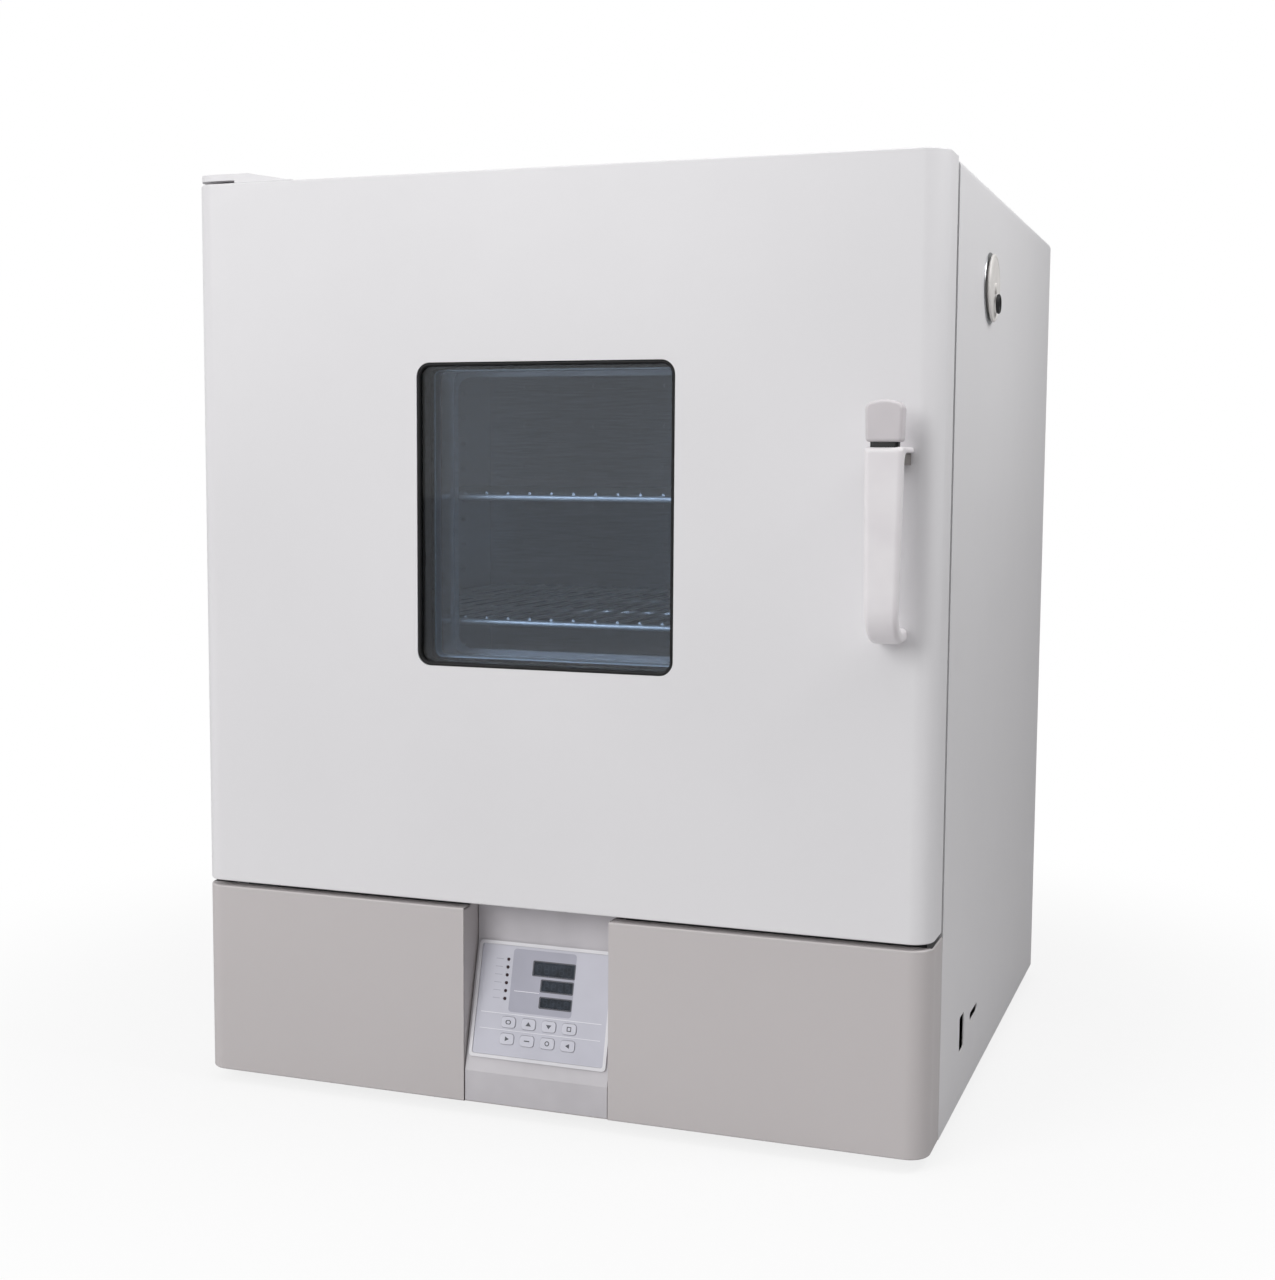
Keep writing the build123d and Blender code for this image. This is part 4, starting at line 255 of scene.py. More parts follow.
def pane(name, tint):
    """Float glass: light falls through it, and the eye sees it bend and reflect."""
    values = {"IOR": 1.5, "Transmission Weight": 1.0, "Base Color": tint, "Specular IOR Level": 0.22}
    made, tree, shader, place = finish_start(name, **values)
    smears = noise(tree, place, 60, detail=3.0)
    tree.links.new(ranged(tree, smears, 0.0, 0.04), shader.inputs["Roughness"])
    ray = add_node(tree, "ShaderNodeLightPath").outputs
    light = maths(tree, "MAXIMUM", ray["Is Shadow Ray"], ray["Is Diffuse Ray"])
    clear = add_node(tree, "ShaderNodeBsdfTransparent", {"Color": tint}).outputs[0]
    both = add_node(tree, "ShaderNodeMixShader", {0: light, 1: shader.outputs[0], 2: clear})
    out = next(n for n in tree.nodes if n.type == "OUTPUT_MATERIAL")
    tree.links.new(both.outputs[0], out.inputs[0])
    return made


def lens(name, low, high):
    """Moulded acrylic: glossy and deep in colour."""
    values = {"IOR": 1.49, "Roughness": 0.3, "Specular IOR Level": 0.18}
    made, tree, shader, place = finish_start(name, **values)
    tree.links.new(between(tree, noise(tree, place, 6), low, high), shader.inputs["Base Color"])
    return made


def board(name, low, high, track):
    """Circuit board: green solder resist over the lighter lines of its tracks."""
    made, tree, shader, place = finish_start(name, **{"IOR": 1.55, "Roughness": 0.3})
    tracks = {"Scale": 160.0, "Mortar Size": 0.03, "Color1": low, "Color2": high, "Mortar": track}
    pattern = add_node(tree, "ShaderNodeTexBrick", {"Vector": place, **tracks})
    tree.links.new(pattern.outputs["Color"], shader.inputs["Base Color"])
    return made


EVEN, ALONG_Y, ALONG_Z = (1, 1, 1), (1, 0.05, 1), (1, 1, 0.05)
FINISHES = {}


def recipes(tone):
    """Each finish under its own name: its maker, and what the maker is given."""
    return {
        # Polyester powder sprayed on and baked: faint orange peel, soft gloss, almost white
        "pale_powder_coat": (enamel, tuple(tone.door)),
        # The same powder in a warm grey, a little duller
        "grey_powder_coat": (enamel, tuple(tone.cover), 0.42),
        # Cold-rolled stainless sheet, belt-brushed: hair lines and a broad grey sheen
        "brushed_stainless": (brushed, "8E9092", "B4B6B6"),
        # Drawn wire, nickel plated after welding: bright with soft highlights
        "drawn_bright_wire": (brushed, "E2E7E8", "F4F7F7", ALONG_Y, 0.46, 1.2),
        # Aluminium profile, etched and anodised: pale, even and silky
        "satin_anodised_frame": (brushed, "DCE4E8", "EEF3F5", ALONG_Z, 0.5, 0.8),
        # Stainless strip annealed bright: nearly a mirror, but coloured dark grey as painted shade on the
        # reveal's walls
        "bright_annealed_steel": (brushed, "59626A", "6C757C", ALONG_Y, 0.1, 0.6),
        # Heater sheath after many heats: brown to blue-grey oxide, dull
        "heat_tinted_sheath": (brushed, "3A332E", "6B5E55", EVEN, 0.5, 6.0),
        # Pressed steel, zinc plated and passivated: cool grey with a cloudy spangle
        "zinc_plated_steel": (brushed, "8C9298", "C2C6C8", EVEN, 0.38, 9.0),
        # Aluminium spun or turned on a lathe: light, with fine rings
        "spun_aluminium": (brushed, "A9ACAF", "D3D5D6", ALONG_Z, 0.3, 0.8),
        # Sintered bronze bush, turned: brown gold, half matt
        "turned_bronze": (brushed, "8A6434", "B58A50", (1, 1, 0.1), 0.35, 1.0),
        # Glass fibre spun, matted and bound: yellow and fully matt
        "glass_wool": (wool, "A8903F", "E6D793"),
        # Black EPDM, extruded: deep black, dull, slightly dusty
        "black_epdm": (rubber, "0C0C0D", "1B1B1D", 0.55),
        # Grey silicone, extruded: matt and soft to the eye
        "grey_silicone": (rubber, "8F8F8C", "B3B2AE", 0.6),
        # Pale silicone, moulded: close to the casing's colour
        "pale_silicone": (rubber, "DAD7D4", "E4E1DE", 0.5),
        # Float glass tinted blue grey in the melt: darkens and cools what lies behind it
        "tinted_float_glass": (pane, "D8DFE8"),
        # Plain float glass, seen slightly green grey
        "inner_float_glass": (pane, "DDE3EA"),
        # Aluminium spacer, anodised black: a thin dark frame between the panes
        "black_anodised_spacer": (brushed, "1C1D20", "2C2E32", EVEN, 0.45, 2.0),
        # ABS moulded in a spark-eroded tool: white, satin
        "white_moulded_abs": (moulded, "E9E5E8", "EFECEE", 0.38),
        # The same in grey for the button
        "grey_moulded_abs": (moulded, shade(tone.button, 0.96), shade(tone.button, 1.03), 0.5),
        # Grey ABS deep under the handle's foot, matt; its dark grey is painted shade under the foot
        "shaded_moulded_abs": (moulded, "6A6664", "767270", 0.6),
        # Console shell, moulded in light grey ABS
        "console_moulding": (moulded, "C5C2C6", "CDCACE", 0.42),
        # Polyester film, printed on its back: even, with a silky face
        "printed_membrane": (
            moulded, shade(tone.panel, 0.97), shade(tone.panel, 1.03), 0.33, 0.4, 0.01
        ),
        # Darker ink on the same film
        "membrane_print_dark": (moulded, "A2A2B0", "AAAAB8", 0.33, 0.4, 0.01),
        # Dark grey screen ink
        "print_ink": (moulded, "45464F", "50515B", 0.4, 0.4, 0.01),
        # White screen ink
        "print_white": (moulded, "E2E2E8", "EDEDF2", 0.4, 0.4, 0.01),
        # Embossed keys of the same film, a little lighter than the panel
        "key_pad": (moulded, "C9C9D4", "D1D1DB", 0.35, 0.6, 0.01),
        # Bezel edge, moulded with a smoother face: a light rim round the film, partly its own pale plastic
        # and partly painted highlight along the rim
        "bezel_moulding": (moulded, "DCDBE0", "E3E2E6", 0.3, 0.5, 0.01),
        # Smoked acrylic sheet before the displays: near black, navy
        "smoked_acrylic": (lens, "1A2029", "2A323E"),
        # Unlit digits behind it, just lighter than the lens
        "unlit_segment": (lens, "2A323D", "343D49"),
        # Unlit lamps: dark red, almost black
        "red_lamp_lens": (lens, "2A1C22", "3C262D"),
        # Glass-fibre board under green solder resist
        "solder_resist": (board, "0F4A2A", "145A33", "2E7D4B"),
        # Cast motor shell, dipped in black paint: coarse and half matt
        "painted_casting": (rubber, "24262A", "33363B", 0.5, 2.0),
        # Breaker case pressed from ivory thermoset
        "ivory_thermoset": (moulded, "D8D6CF", "E2E0DA", 0.45),
        # Toggle and other small parts in black thermoset
        "black_thermoset": (moulded, "101012", "1A1A1D", 0.4),
    }


def make_finishes():
    """Makes each finish once."""
    for name, (maker, *given) in recipes(colours()).items():
        FINISHES[name] = maker(name, *[paint(v) if isinstance(v, str) else v for v in given])


SOLID_FINISH = {
    "enamel_light": "pale_powder_coat",
    "enamel_grey": "grey_powder_coat",
    "stainless": "brushed_stainless",
    "shelf_wire": "drawn_bright_wire",
    "heater_sheath": "heat_tinted_sheath",
    "zinc_steel": "zinc_plated_steel",
    "aluminium": "spun_aluminium",
    "bush_bronze": "turned_bronze",
    "insulation": "glass_wool",
    "rubber_black": "black_epdm",
    "silicone_grey": "grey_silicone",
    "port_rubber": "pale_silicone",
    "glass": "tinted_float_glass",
    "spacer": "black_anodised_spacer",
    "handle_plastic": "white_moulded_abs",
    "button_plastic": "grey_moulded_abs",
    "console_plastic": "console_moulding",
    "membrane": "printed_membrane",
    "display_lens": "smoked_acrylic",
    "lamp": "red_lamp_lens",
    "key": "key_pad",
    "pcb": "solder_resist",
    "motor_paint": "painted_casting",
    "breaker_case": "ivory_thermoset",
    "breaker_toggle": "black_thermoset",
    "black_plastic": "black_thermoset",
}
# The window reveal's steel is darkened: painted shade
OWN_FINISH = {"window_glass_inner": "inner_float_glass", "window_reveal": "bright_annealed_steel"}


# ---- Shapes


def centre_of(name):
    """The middle of a node's box."""
    low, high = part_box(name)
    return (Vector(low) + Vector(high)) / 2


def arc(centre, radius, start, end, steps):
    """Points along an arc, angles in degrees."""
    angles = [math.radians(start + (end - start) * i / steps) for i in range(steps + 1)]
    return [(centre[0] + radius * math.cos(a), centre[1] + radius * math.sin(a)) for a in angles]


def round_rect(x0, x1, y0, y1, radius, steps=8):
    """A rectangle with round corners, as points in order."""
    made = arc((x1 - radius, y0 + radius), radius, -90, 0, steps)
    made += arc((x1 - radius, y1 - radius), radius, 0, 90, steps)
    made += arc((x0 + radius, y1 - radius), radius, 90, 180, steps)
    made += arc((x0 + radius, y0 + radius), radius, 180, 270, steps)
    return made


def around(x, y, half_x, half_y, radius, steps=8):
    """A rectangle with round corners round a middle."""
    return round_rect(x - half_x, x + half_x, y - half_y, y + half_y, radius, steps)


def on_plan(x, y, level):
    """A point on a level plan."""
    return Vector((x, y, level))


def on_front(x, z, level):
    """A point on an upright plane that faces the front, at depth level."""
    return Vector((x, level, z))


def on_side(y, z, level):
    """A point on an upright plane that faces the side, at x level."""
    return Vector((level, y, z))


def prism(outline, low, high, lay):
    """A closed solid between two levels of an outline."""
    made = bmesh.new()
    lower = [made.verts.new(lay(*p, low)) for p in outline]
    upper = [made.verts.new(lay(*p, high)) for p in outline]
    made.faces.new(lower)
    made.faces.new(upper)
    for i in range(len(outline)):
        j = (i + 1) % len(outline)
        made.faces.new((lower[i], lower[j], upper[j], upper[i]))
    bmesh.ops.recalc_face_normals(made, faces=made.faces)
    return made


def block(x0, x1, y0, y1, z0, z1):
    """A plain box."""
    return prism([(x0, y0), (x1, y0), (x1, y1), (x0, y1)], z0, z1, on_plan)


def lathe(profile, centre, axis, steps=48):
    """A turned solid: profile holds (radius, height) pairs, and the axis runs through centre."""
    made = bmesh.new()
    turn = Vector((0, 0, 1)).rotation_difference(Vector(axis)).to_matrix()
    rings = []
    for radius, height in profile:
        if radius < 1e-6:
            rings.append([made.verts.new(turn @ Vector((0, 0, height)) + Vector(centre))])
            continue
        ring = []
        for i in range(steps):
            a = 2 * math.pi * i / steps
            point = Vector((radius * math.cos(a), radius * math.sin(a), height))
            ring.append(made.verts.new(turn @ point + Vector(centre)))
        rings.append(ring)
    closed = len(rings[0]) > 1 and len(rings[-1]) > 1
    for one, two in list(zip(rings, rings[1:])) + ([(rings[-1], rings[0])] if closed else []):
        for i in range(steps):
            j = (i + 1) % steps
            if len(one) == 1 and len(two) == 1:
                continue
            if len(one) == 1:
                made.faces.new((one[0], two[j], two[i]))
            elif len(two) == 1:
                made.faces.new((one[i], one[j], two[0]))
            else:
                made.faces.new((one[i], one[j], two[j], two[i]))
    bmesh.ops.recalc_face_normals(made, faces=made.faces)
    return made


def skinned(shape, rings, closed):
    """Skins rings of points, and joins the last to the first or caps both ends."""
    for one, two in list(zip(rings, rings[1:])) + ([(rings[-1], rings[0])] if closed else []):
        for i in range(len(one)):
            j = (i + 1) % len(one)
            shape.faces.new((one[i], one[j], two[j], two[i]))
    if not closed:
        shape.faces.new(rings[0])
        shape.faces.new(rings[-1])
    bmesh.ops.recalc_face_normals(shape, faces=shape.faces)
    return shape


def sweep(path, section):
    """Carries a closed section of (outward, up) offsets round path items of (point, outward, up)."""
    made = bmesh.new()
    rings = [
        [made.verts.new(point + out * a + up * b) for a, b in section] for point, out, up in path
    ]
    return skinned(made, rings, True)


def mesh_object(shape, name):
    """Links a bmesh as an object at the origin."""
    mesh = bpy.data.meshes.new(name)
    shape.to_mesh(mesh)
    shape.free()
    return linked(name, mesh)


def linked(name, data):
    """Links an object that holds data, at the origin."""
    made = bpy.data.objects.new(name, data)
    bpy.context.scene.collection.objects.link(made)
    return made


def settled(obj):
    """Turns what the modifiers make of an object into its own mesh, and takes them off."""
    bpy.context.view_layer.update()
    seen = obj.evaluated_get(bpy.context.evaluated_depsgraph_get())
    mesh = bpy.data.meshes.new_from_object(seen)
    old = obj.data
    obj.modifiers.clear()
    obj.data = mesh
    bpy.data.meshes.remove(old)
    return obj


def cut(obj, *shapes):
    """Takes shapes out of an object."""
    for shape in shapes:
        tool = mesh_object(shape, "cutter")
        change = obj.modifiers.new("cut", "BOOLEAN")
        change.operation = "DIFFERENCE"
        change.solver = "EXACT"
        change.object = tool
        settled(obj)
        bpy.data.objects.remove(tool)
    return obj


def joined(name, *shapes):
    """One object from several closed shapes that touch or overlap."""
    return merged(name, [mesh_object(shape, "shape") for shape in shapes])


def merged(name, parts):
    """One object from several mesh objects."""
    whole = bmesh.new()
    for part in parts:
        whole.from_mesh(part.data)
        bpy.data.objects.remove(part)
    return mesh_object(whole, name)


def eased(obj, width, segments=3, angle=40):
    """Rounds an object's sharp edges."""
    change = obj.modifiers.new("edge", "BEVEL")
    change.width = width
    change.segments = segments
    change.limit_method = "ANGLE"
    change.angle_limit = math.radians(angle)
    change.use_clamp_overlap = True
    return settled(obj)


def piece(obj, finish, body, replaces=(), smooth=32):
    """Finishes a piece: its material, its shading, its body and the solids that it stands for."""
    obj.data.materials.clear()
    obj.data.materials.append(FINISHES[finish])
    for face in obj.data.polygons:
        face.material_index = 0
    obj.data.shade_smooth()
    obj.data.set_sharp_from_angle(angle=math.radians(smooth))
    change = obj.modifiers.new("level", "WEIGHTED_NORMAL")
    change.keep_sharp = True
    settled(obj)
    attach(obj, body)
    if replaces:
        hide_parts(*replaces)
    return obj


class OVEN_OT_finish_solids(bpy.types.Operator):
    """Gives every solid of the frame the finish of its material slot"""

    bl_idname = "oven.finish_solids"
    bl_label = "Finish the solids"

    def execute(self, context):
        make_finishes()
        for part in frame["record"]["subparts"]:
            node = NODES[part["node"]]
            name = OWN_FINISH.get(part["node"], SOLID_FINISH[part["material_slot"]])
            node.data.materials.clear()
            node.data.materials.append(FINISHES[name])
        return {"FINISHED"}


class OVEN_OT_casing(bpy.types.Operator):
    """Makes the folded casing with its bent top edges, front flange and side openings"""

    bl_idname = "oven.casing"
    bl_label = "Casing"

    def execute(self, context):
        low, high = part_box("outer_casing")
        bend, flange, port_hole = 0.008, 0.014, 0.0258

        def arch(grow):
            r = bend - grow
            x0, x1, z1 = low.x + grow, high.x - grow, high.z - grow
            foot = low.z - (PAST if grow else 0)
            line = [(x1, foot), *arc((x1 - r, z1 - r), r, 0, 90, 12)]
            return [*line, *arc((x0 + r, z1 - r), r, 90, 180, 12), (x0, foot)]

        def through(outline):
            return prism(outline, high.x - PAST, high.x + PAST, on_side)

        shell = mesh_object(prism(arch(0), low.y, high.y, on_front), "casing")
        mouth = [
            (low.x + flange, low.z - PAST),
            (high.x - flange, low.z - PAST),
            (high.x - flange, high.z - flange),
            (low.x + flange, high.z - flange),
        ]
        port = centre_of("cable_port_sleeve")
        toggle_y, breaker_z = centre_of("breaker_lever").y, centre_of("breaker_body").z
        slot_y, slot_z = low.y + 0.180, low.z + 0.0648
        cut(
            shell,
            prism(arch(sizes().sheet), low.y + sizes().sheet, high.y + PAST, on_front),
            prism(mouth, low.y - PAST, low.y + PAST, on_front),
            through(arc((port.y, port.z), port_hole, 0, 352.5, 47)),
            through(around(toggle_y, breaker_z, 0.0125, 0.017, 0.002, 4)),
            through(around(slot_y, slot_z, 0.0215, 0.004, 0.0039, 6)),
        )
        eased(shell, 0.0004, 2, 50)
        piece(shell, "pale_powder_coat", "cabinet", ["outer_casing"])
        return {"FINISHED"}


def pan_plan(low, high, grow, back):
    """The plan of a pan with round front corners, shrunk by grow and open at back."""
    r = sizes().skin_round - grow
    x0, x1, y0 = low.x + grow, high.x - grow, low.y + grow
    line = [(x0, back), *arc((x0 + r, y0 + r), r, 180, 270, 14)]
    return [*line, *arc((x1 - r, y0 + r), r, 270, 360, 14), (x1, back)]


def pan(name, low, high):
    """A full block with round front corners and eased edges, and the shape that hollows it."""
    made = mesh_object(prism(pan_plan(low, high, 0, high.y), low.z, high.z, on_plan), name)
    eased(made, sizes().edge, 4, 50)
    sheet = sizes().sheet
    inside = pan_plan(low, high, sheet, high.y + PAST)
    return made, prism(inside, low.z + sheet, high.z - sheet, on_plan)


WINDOW_HALF = (0.1235, 0.1375)
WINDOW_CORNER = 0.013


class OVEN_OT_door_skin(bpy.types.Operator):
    """Makes the pressed door pan with its round upright edges and its window opening"""

    bl_idname = "oven.door_skin"
    bl_label = "Door skin"

    def execute(self, context):
        low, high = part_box("door_skin")
        skin, hollow = pan("door_pan", low, high)
        glass, bush = centre_of("window_gasket"), centre_of("hinge_bushes")
        window = around(glass.x, glass.z, *WINDOW_HALF, WINDOW_CORNER, 10)
        lx, lz = centre_of("latch_hook").x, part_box("latch_hook")[1].z - 0.006
        slit = round_rect(lx - 0.006, lx + 0.006, lz - 0.0055, lz + 0.003, 0.001, 2)
        pin_hole = arc((bush.x, bush.y), 0.0071, 0, 345, 23)
        cut(
            skin,
            hollow,
            prism(window, low.y - PAST, low.y + PAST, on_front),
            prism(slit, low.y - PAST, low.y + PAST, on_front),
            prism(pin_hole, low.z - PAST, high.z + PAST, on_plan),
        )
        piece(skin, "pale_powder_coat", "door", ["door_skin"])
        return {"FINISHED"}


class OVEN_OT_lower_cover(bpy.types.Operator):
    """Makes the folded lower cover with the notch for the console"""

    bl_idname = "oven.lower_cover"
    bl_label = "Lower front cover"

    def execute(self, context):
        low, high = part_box("lower_front_cover")
        sheet = sizes().sheet
        notch_l, notch_r, wall = -0.078, 0.065, 0.042
        lip, rim, front = 0.0025, 0.015, 0.004
        cover, hollow = pan("lower_cover", low, high)
        cut(
            cover,
            hollow,
            block(
                low.x + sheet, high.x - sheet, low.y + rim, high.y + PAST, high.z - front, high.z + PAST
            ),
            block(notch_l, notch_r, low.y - PAST, low.y + wall, low.z + sheet, high.z + PAST),
            block(notch_l, notch_r, low.y - PAST, low.y + lip, low.z - PAST, low.z + PAST),
        )
        sides = joined(
            "lower_cover_notch_walls",
            block(notch_l - sheet, notch_l, low.y + 0.0004, low.y + wall, low.z, high.z),
            block(notch_r, notch_r + sheet, low.y + 0.0004, low.y + wall, low.z, high.z),
        )
        eased(sides, 0.0005, 2, 50)
        piece(sides, "grey_powder_coat", "cabinet")
        piece(cover, "grey_powder_coat", "cabinet", ["lower_front_cover"])
        return {"FINISHED"}


class OVEN_OT_hinge_bracket(bpy.types.Operator):
    """Makes the upper hinge bracket over the corner of the door"""

    bl_idname = "oven.hinge_bracket"
    bl_label = "Upper hinge bracket"

    def execute(self, context):
        low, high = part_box("upper_hinge_bracket")
        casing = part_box("outer_casing")
        base, front, top = casing[1].z, casing[0].y, high.z
        x0, x1, r = low.x, high.x, 0.014
        profile = [
            (x0, base),
            (x1, base),
            (x1, base + 0.0012),
            (x1 - 0.006, base + 0.0018),
            (x0 + 0.055, top),
            (x0 + 0.002, top),
            (x0, top - 0.0015),
        ]
        bracket = mesh_object(prism(profile, low.y, high.y, on_front), "hinge_bracket")
        corner = [(x0 - PAST, low.y - PAST), (x0 + r, low.y - PAST), (x0 + r, low.y)]
        corner += arc((x0 + r, low.y + r), r, 268, 182, 10)
        corner += [(x0, low.y + r), (x0 - PAST, low.y + r)]
        arm, clear, thin = x0 + 0.041, base + 0.003, base + 0.0005
        gap = [(x0 - PAST, base - PAST), (x1 + PAST, base - PAST), (x1 + PAST, thin)]
        gap += [(arm, thin), (arm, clear), (x0 - PAST, clear)]
        cut(
            bracket,
            prism(corner, base - PAST, top + PAST, on_plan),
            prism(gap, low.y - PAST, front, on_front),
        )
        eased(bracket, 0.0005, 3, 40)
        pin, head = centre_of("hinge_bushes"), base + 0.0031
        profile = [(0, low.z), (0.0034, low.z), (0.004, low.z + 0.0006), (0.004, head), (0, head)]
        stem = mesh_object(lathe(profile, (pin.x, pin.y, 0), (0, 0, 1), 24), "hinge_pin_upper")
        piece(stem, "zinc_plated_steel", "cabinet")
        piece(bracket, "pale_powder_coat", "cabinet", ["upper_hinge_bracket"])
        return {"FINISHED"}


class OVEN_OT_window(bpy.types.Operator):
    """Makes the rubber gasket round the pane, and the frame that holds the inner pane"""

    bl_idname = "oven.window"
    bl_label = "Window gasket"

    def execute(self, context):
        low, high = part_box("window_gasket")
        cx, cz = (low.x + high.x) / 2, (low.z + high.z) / 2
        w, h, r = *WINDOW_HALF, WINDOW_CORNER
        path = []
        for side_x, side_z, start in ((1, -1, -90), (1, 1, 0), (-1, 1, 90), (-1, -1, 180)):
            corner = Vector((cx + side_x * (w - r), 0, cz + side_z * (h - r)))
            for i in range(13):
                a = math.radians(start + 90 * i / 12)
                out = Vector((math.cos(a), 0, math.sin(a)))
                path.append((corner + out * r, out, Vector((0, 1, 0))))
        y0, y1 = low.y, high.y
        seat = y0 + sizes().sheet - 0.0002
        section = [
            (-0.0003, y0 + 0.0008),
            (-0.0009, y0 + 0.0002),
            (-0.0017, y0),
            (-0.0026, y0 + 0.0002),
            (-0.0032, y0 + 0.0009),
            (-0.0034, y0 + 0.0018),
            (-0.0034, y1),
            (0.008, y1),
            (0.008, seat),
            (-0.0002, seat),
        ]
        ring = mesh_object(sweep(path, section), "window_seal")
        piece(ring, "black_epdm", "door", ["window_gasket"], 50)
        lip, start = 0.0056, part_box("window_reveal")[0].y + 0.002
        flat = [(0.0002, start), (-0.0009, start), (-0.0014, start + 0.001)]
        flat += [(-0.0014, start + 0.010), (-0.0009, start + 0.011), (0.0002, start + 0.011)]
        inner = [(point - out * lip, out, up) for point, out, up in path]
        held = mesh_object(sweep(inner, flat), "inner_pane_frame")
        piece(held, "satin_anodised_frame", "door", smooth=40)
        return {"FINISHED"}


class OVEN_OT_handle(bpy.types.Operator):
    """Makes the moulded bow handle and its domed thumb button"""

    bl_idname = "oven.handle"
    bl_label = "Handle and button"

    def execute(self, context):
        low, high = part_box("handle")
        centre, lx = (low.x + high.x) / 2, centre_of("latch_hook").x
        floor, ceiling = high.z - 0.0128, high.z - 0.0047
        body = self.bow(low, high, centre)
        slit = round_rect(lx - 0.006, lx + 0.006, floor, ceiling, 0.001, 2)
        shaft = round_rect(lx - 0.006, lx + 0.006, low.y + 0.0025, low.y + 0.012, 0.001, 2)
        skirt = round_rect(centre - 0.0122, centre + 0.0122, low.y + 0.002, low.y + 0.0148, 0.003, 4)
        cut(
            body,
            prism(shaft, floor, high.z + PAST, on_plan),
            prism(skirt, high.z - 0.0041, high.z + PAST, on_plan),
            prism(slit, low.y + 0.0025, high.y + PAST, on_front),
        )
        # The latch guide under the foot is coated dark grey: painted shade under the handle's foot
        under, wide = high.z - 0.0146, 0.0085
        guide = mesh_object(
            block(lx - wide, lx + wide, low.y + 0.0125, high.y, under, under + 0.0102), "latch_guide"
        )
        cut(guide, prism(slit, low.y, high.y + PAST, on_front))
        piece(guide, "shaded_moulded_abs", "door")
        piece(body, "white_moulded_abs", "door", ["handle"], 40)
        self.button()
        return {"FINISHED"}

    def bow(self, low, high, centre):
        """The handle's bow: a rounded section from the lower foot, up the bar and back to the door."""
        face, door, z0, z1 = low.y, high.y, low.z, high.z
        thick, foot, round_low, round_top, inner_top = 0.012, 0.005, 0.030, 0.004, 0.008
        top_width = high.x - low.x
        bar = top_width - 0.0055
        stations = []

        def station(outer, inner):
            share = (outer[1] - z0) / (z1 - z0)
            stations.append((Vector(outer), Vector(inner), bar + (top_width - bar) * share))

        for depth in (0.0, 0.4, 0.8):
            y = door - (door - face - round_low) * depth
            station((y, z0), (y, z0 + thick))
        bend = (face + round_low, z0 + round_low)
        outer_bend = arc(bend, round_low, 270, 180, 12)
        for outer, inner in zip(outer_bend, arc(bend, round_low - thick, 270, 180, 12)):
            station(outer, inner)
        top = z1 - foot - inner_top
        for i in range(1, 9):
            z = z0 + round_low + (top - z0 - round_low) * i / 8
            station((face, z), (face + thick, z))
        for i in range(1, 10):
            reach = i / 9
            b = math.radians(180 - 90 * reach)
            turn = math.radians(180 - 90 * max(0.0, reach - 0.625) / 0.375)
            rise = top + (z1 - round_top - top) * min(1.0, reach * 1.6)
            outer = (face + round_top + round_top * math.cos(turn), rise + round_top * math.sin(turn))
            inner = (
                face + thick + inner_top + inner_top * math.cos(b),
                top + inner_top * math.sin(b),
            )
            station(outer, inner)
        for depth in (0.25, 0.6, 1.0):
            y = face + thick + inner_top + (door - face - thick - inner_top) * depth
            station((y, z1), (y, z1 - foot))
        shape = bmesh.new()
        rings = []
        for outer, inner, width in stations:
            axis = inner - outer
            span = axis.length
            axis.normalize()
            ring = []
            for a, b in round_rect(-width / 2, width / 2, 0, span, min(0.0045, span * 0.4), 5):
                spot = outer + axis * b
                ring.append(shape.verts.new((centre + a, spot.x, spot.y)))
            rings.append(ring)
        return mesh_object(skinned(shape, rings, False), "handle_bow")

    def button(self):
        """The thumb button: a cap with a domed crown, and its dark skirt and stem."""
        low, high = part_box("handle_button")
        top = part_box("handle")[1].z
        z0 = top + 0.0039
        middle, half = (low.x + high.x) / 2, (high.x - low.x) / 2
        crown, shoulder = 0.005, 0.0065
        sphere = (half * half + crown * crown) / (2 * crown)
        reach = half - shoulder

        def rim(x):
            return high.z - sphere + math.sqrt(sphere * sphere - x * x)

        corner_z = rim(reach) - shoulder
        outline = [(middle - half + 0.0006, z0), (middle + half - 0.0006, z0)]
        outline += arc((middle + reach, corner_z), shoulder, 0, 78, 8)
        for i in range(1, 12):
            x = reach - 2 * reach * i / 12
            outline.append((middle + x, rim(x)))
        outline += arc((middle - reach, corner_z), shoulder, 102, 180, 8)
        cap = mesh_object(prism(outline, low.y, high.y, on_front), "thumb_button")
        eased(cap, 0.0028, 5, 50)
        lx, wide = centre_of("latch_hook").x, 0.0117
        shaft = round_rect(lx - 0.005, lx + 0.005, low.y + 0.004, low.y + 0.008, 0.0008, 3)
        skirt = round_rect(middle - wide, middle + wide, low.y + 0.0025, low.y + 0.0143, 0.0028, 4)
        rod = joined(
            "thumb_button_stem",
            prism(shaft, low.z, z0, on_plan),
            prism(skirt, top - 0.0003, z0 + 0.002, on_plan),
        )
        piece(rod, "black_thermoset", "handle_button")
        piece(cap, "grey_moulded_abs", "handle_button", ["handle_button"], 50)


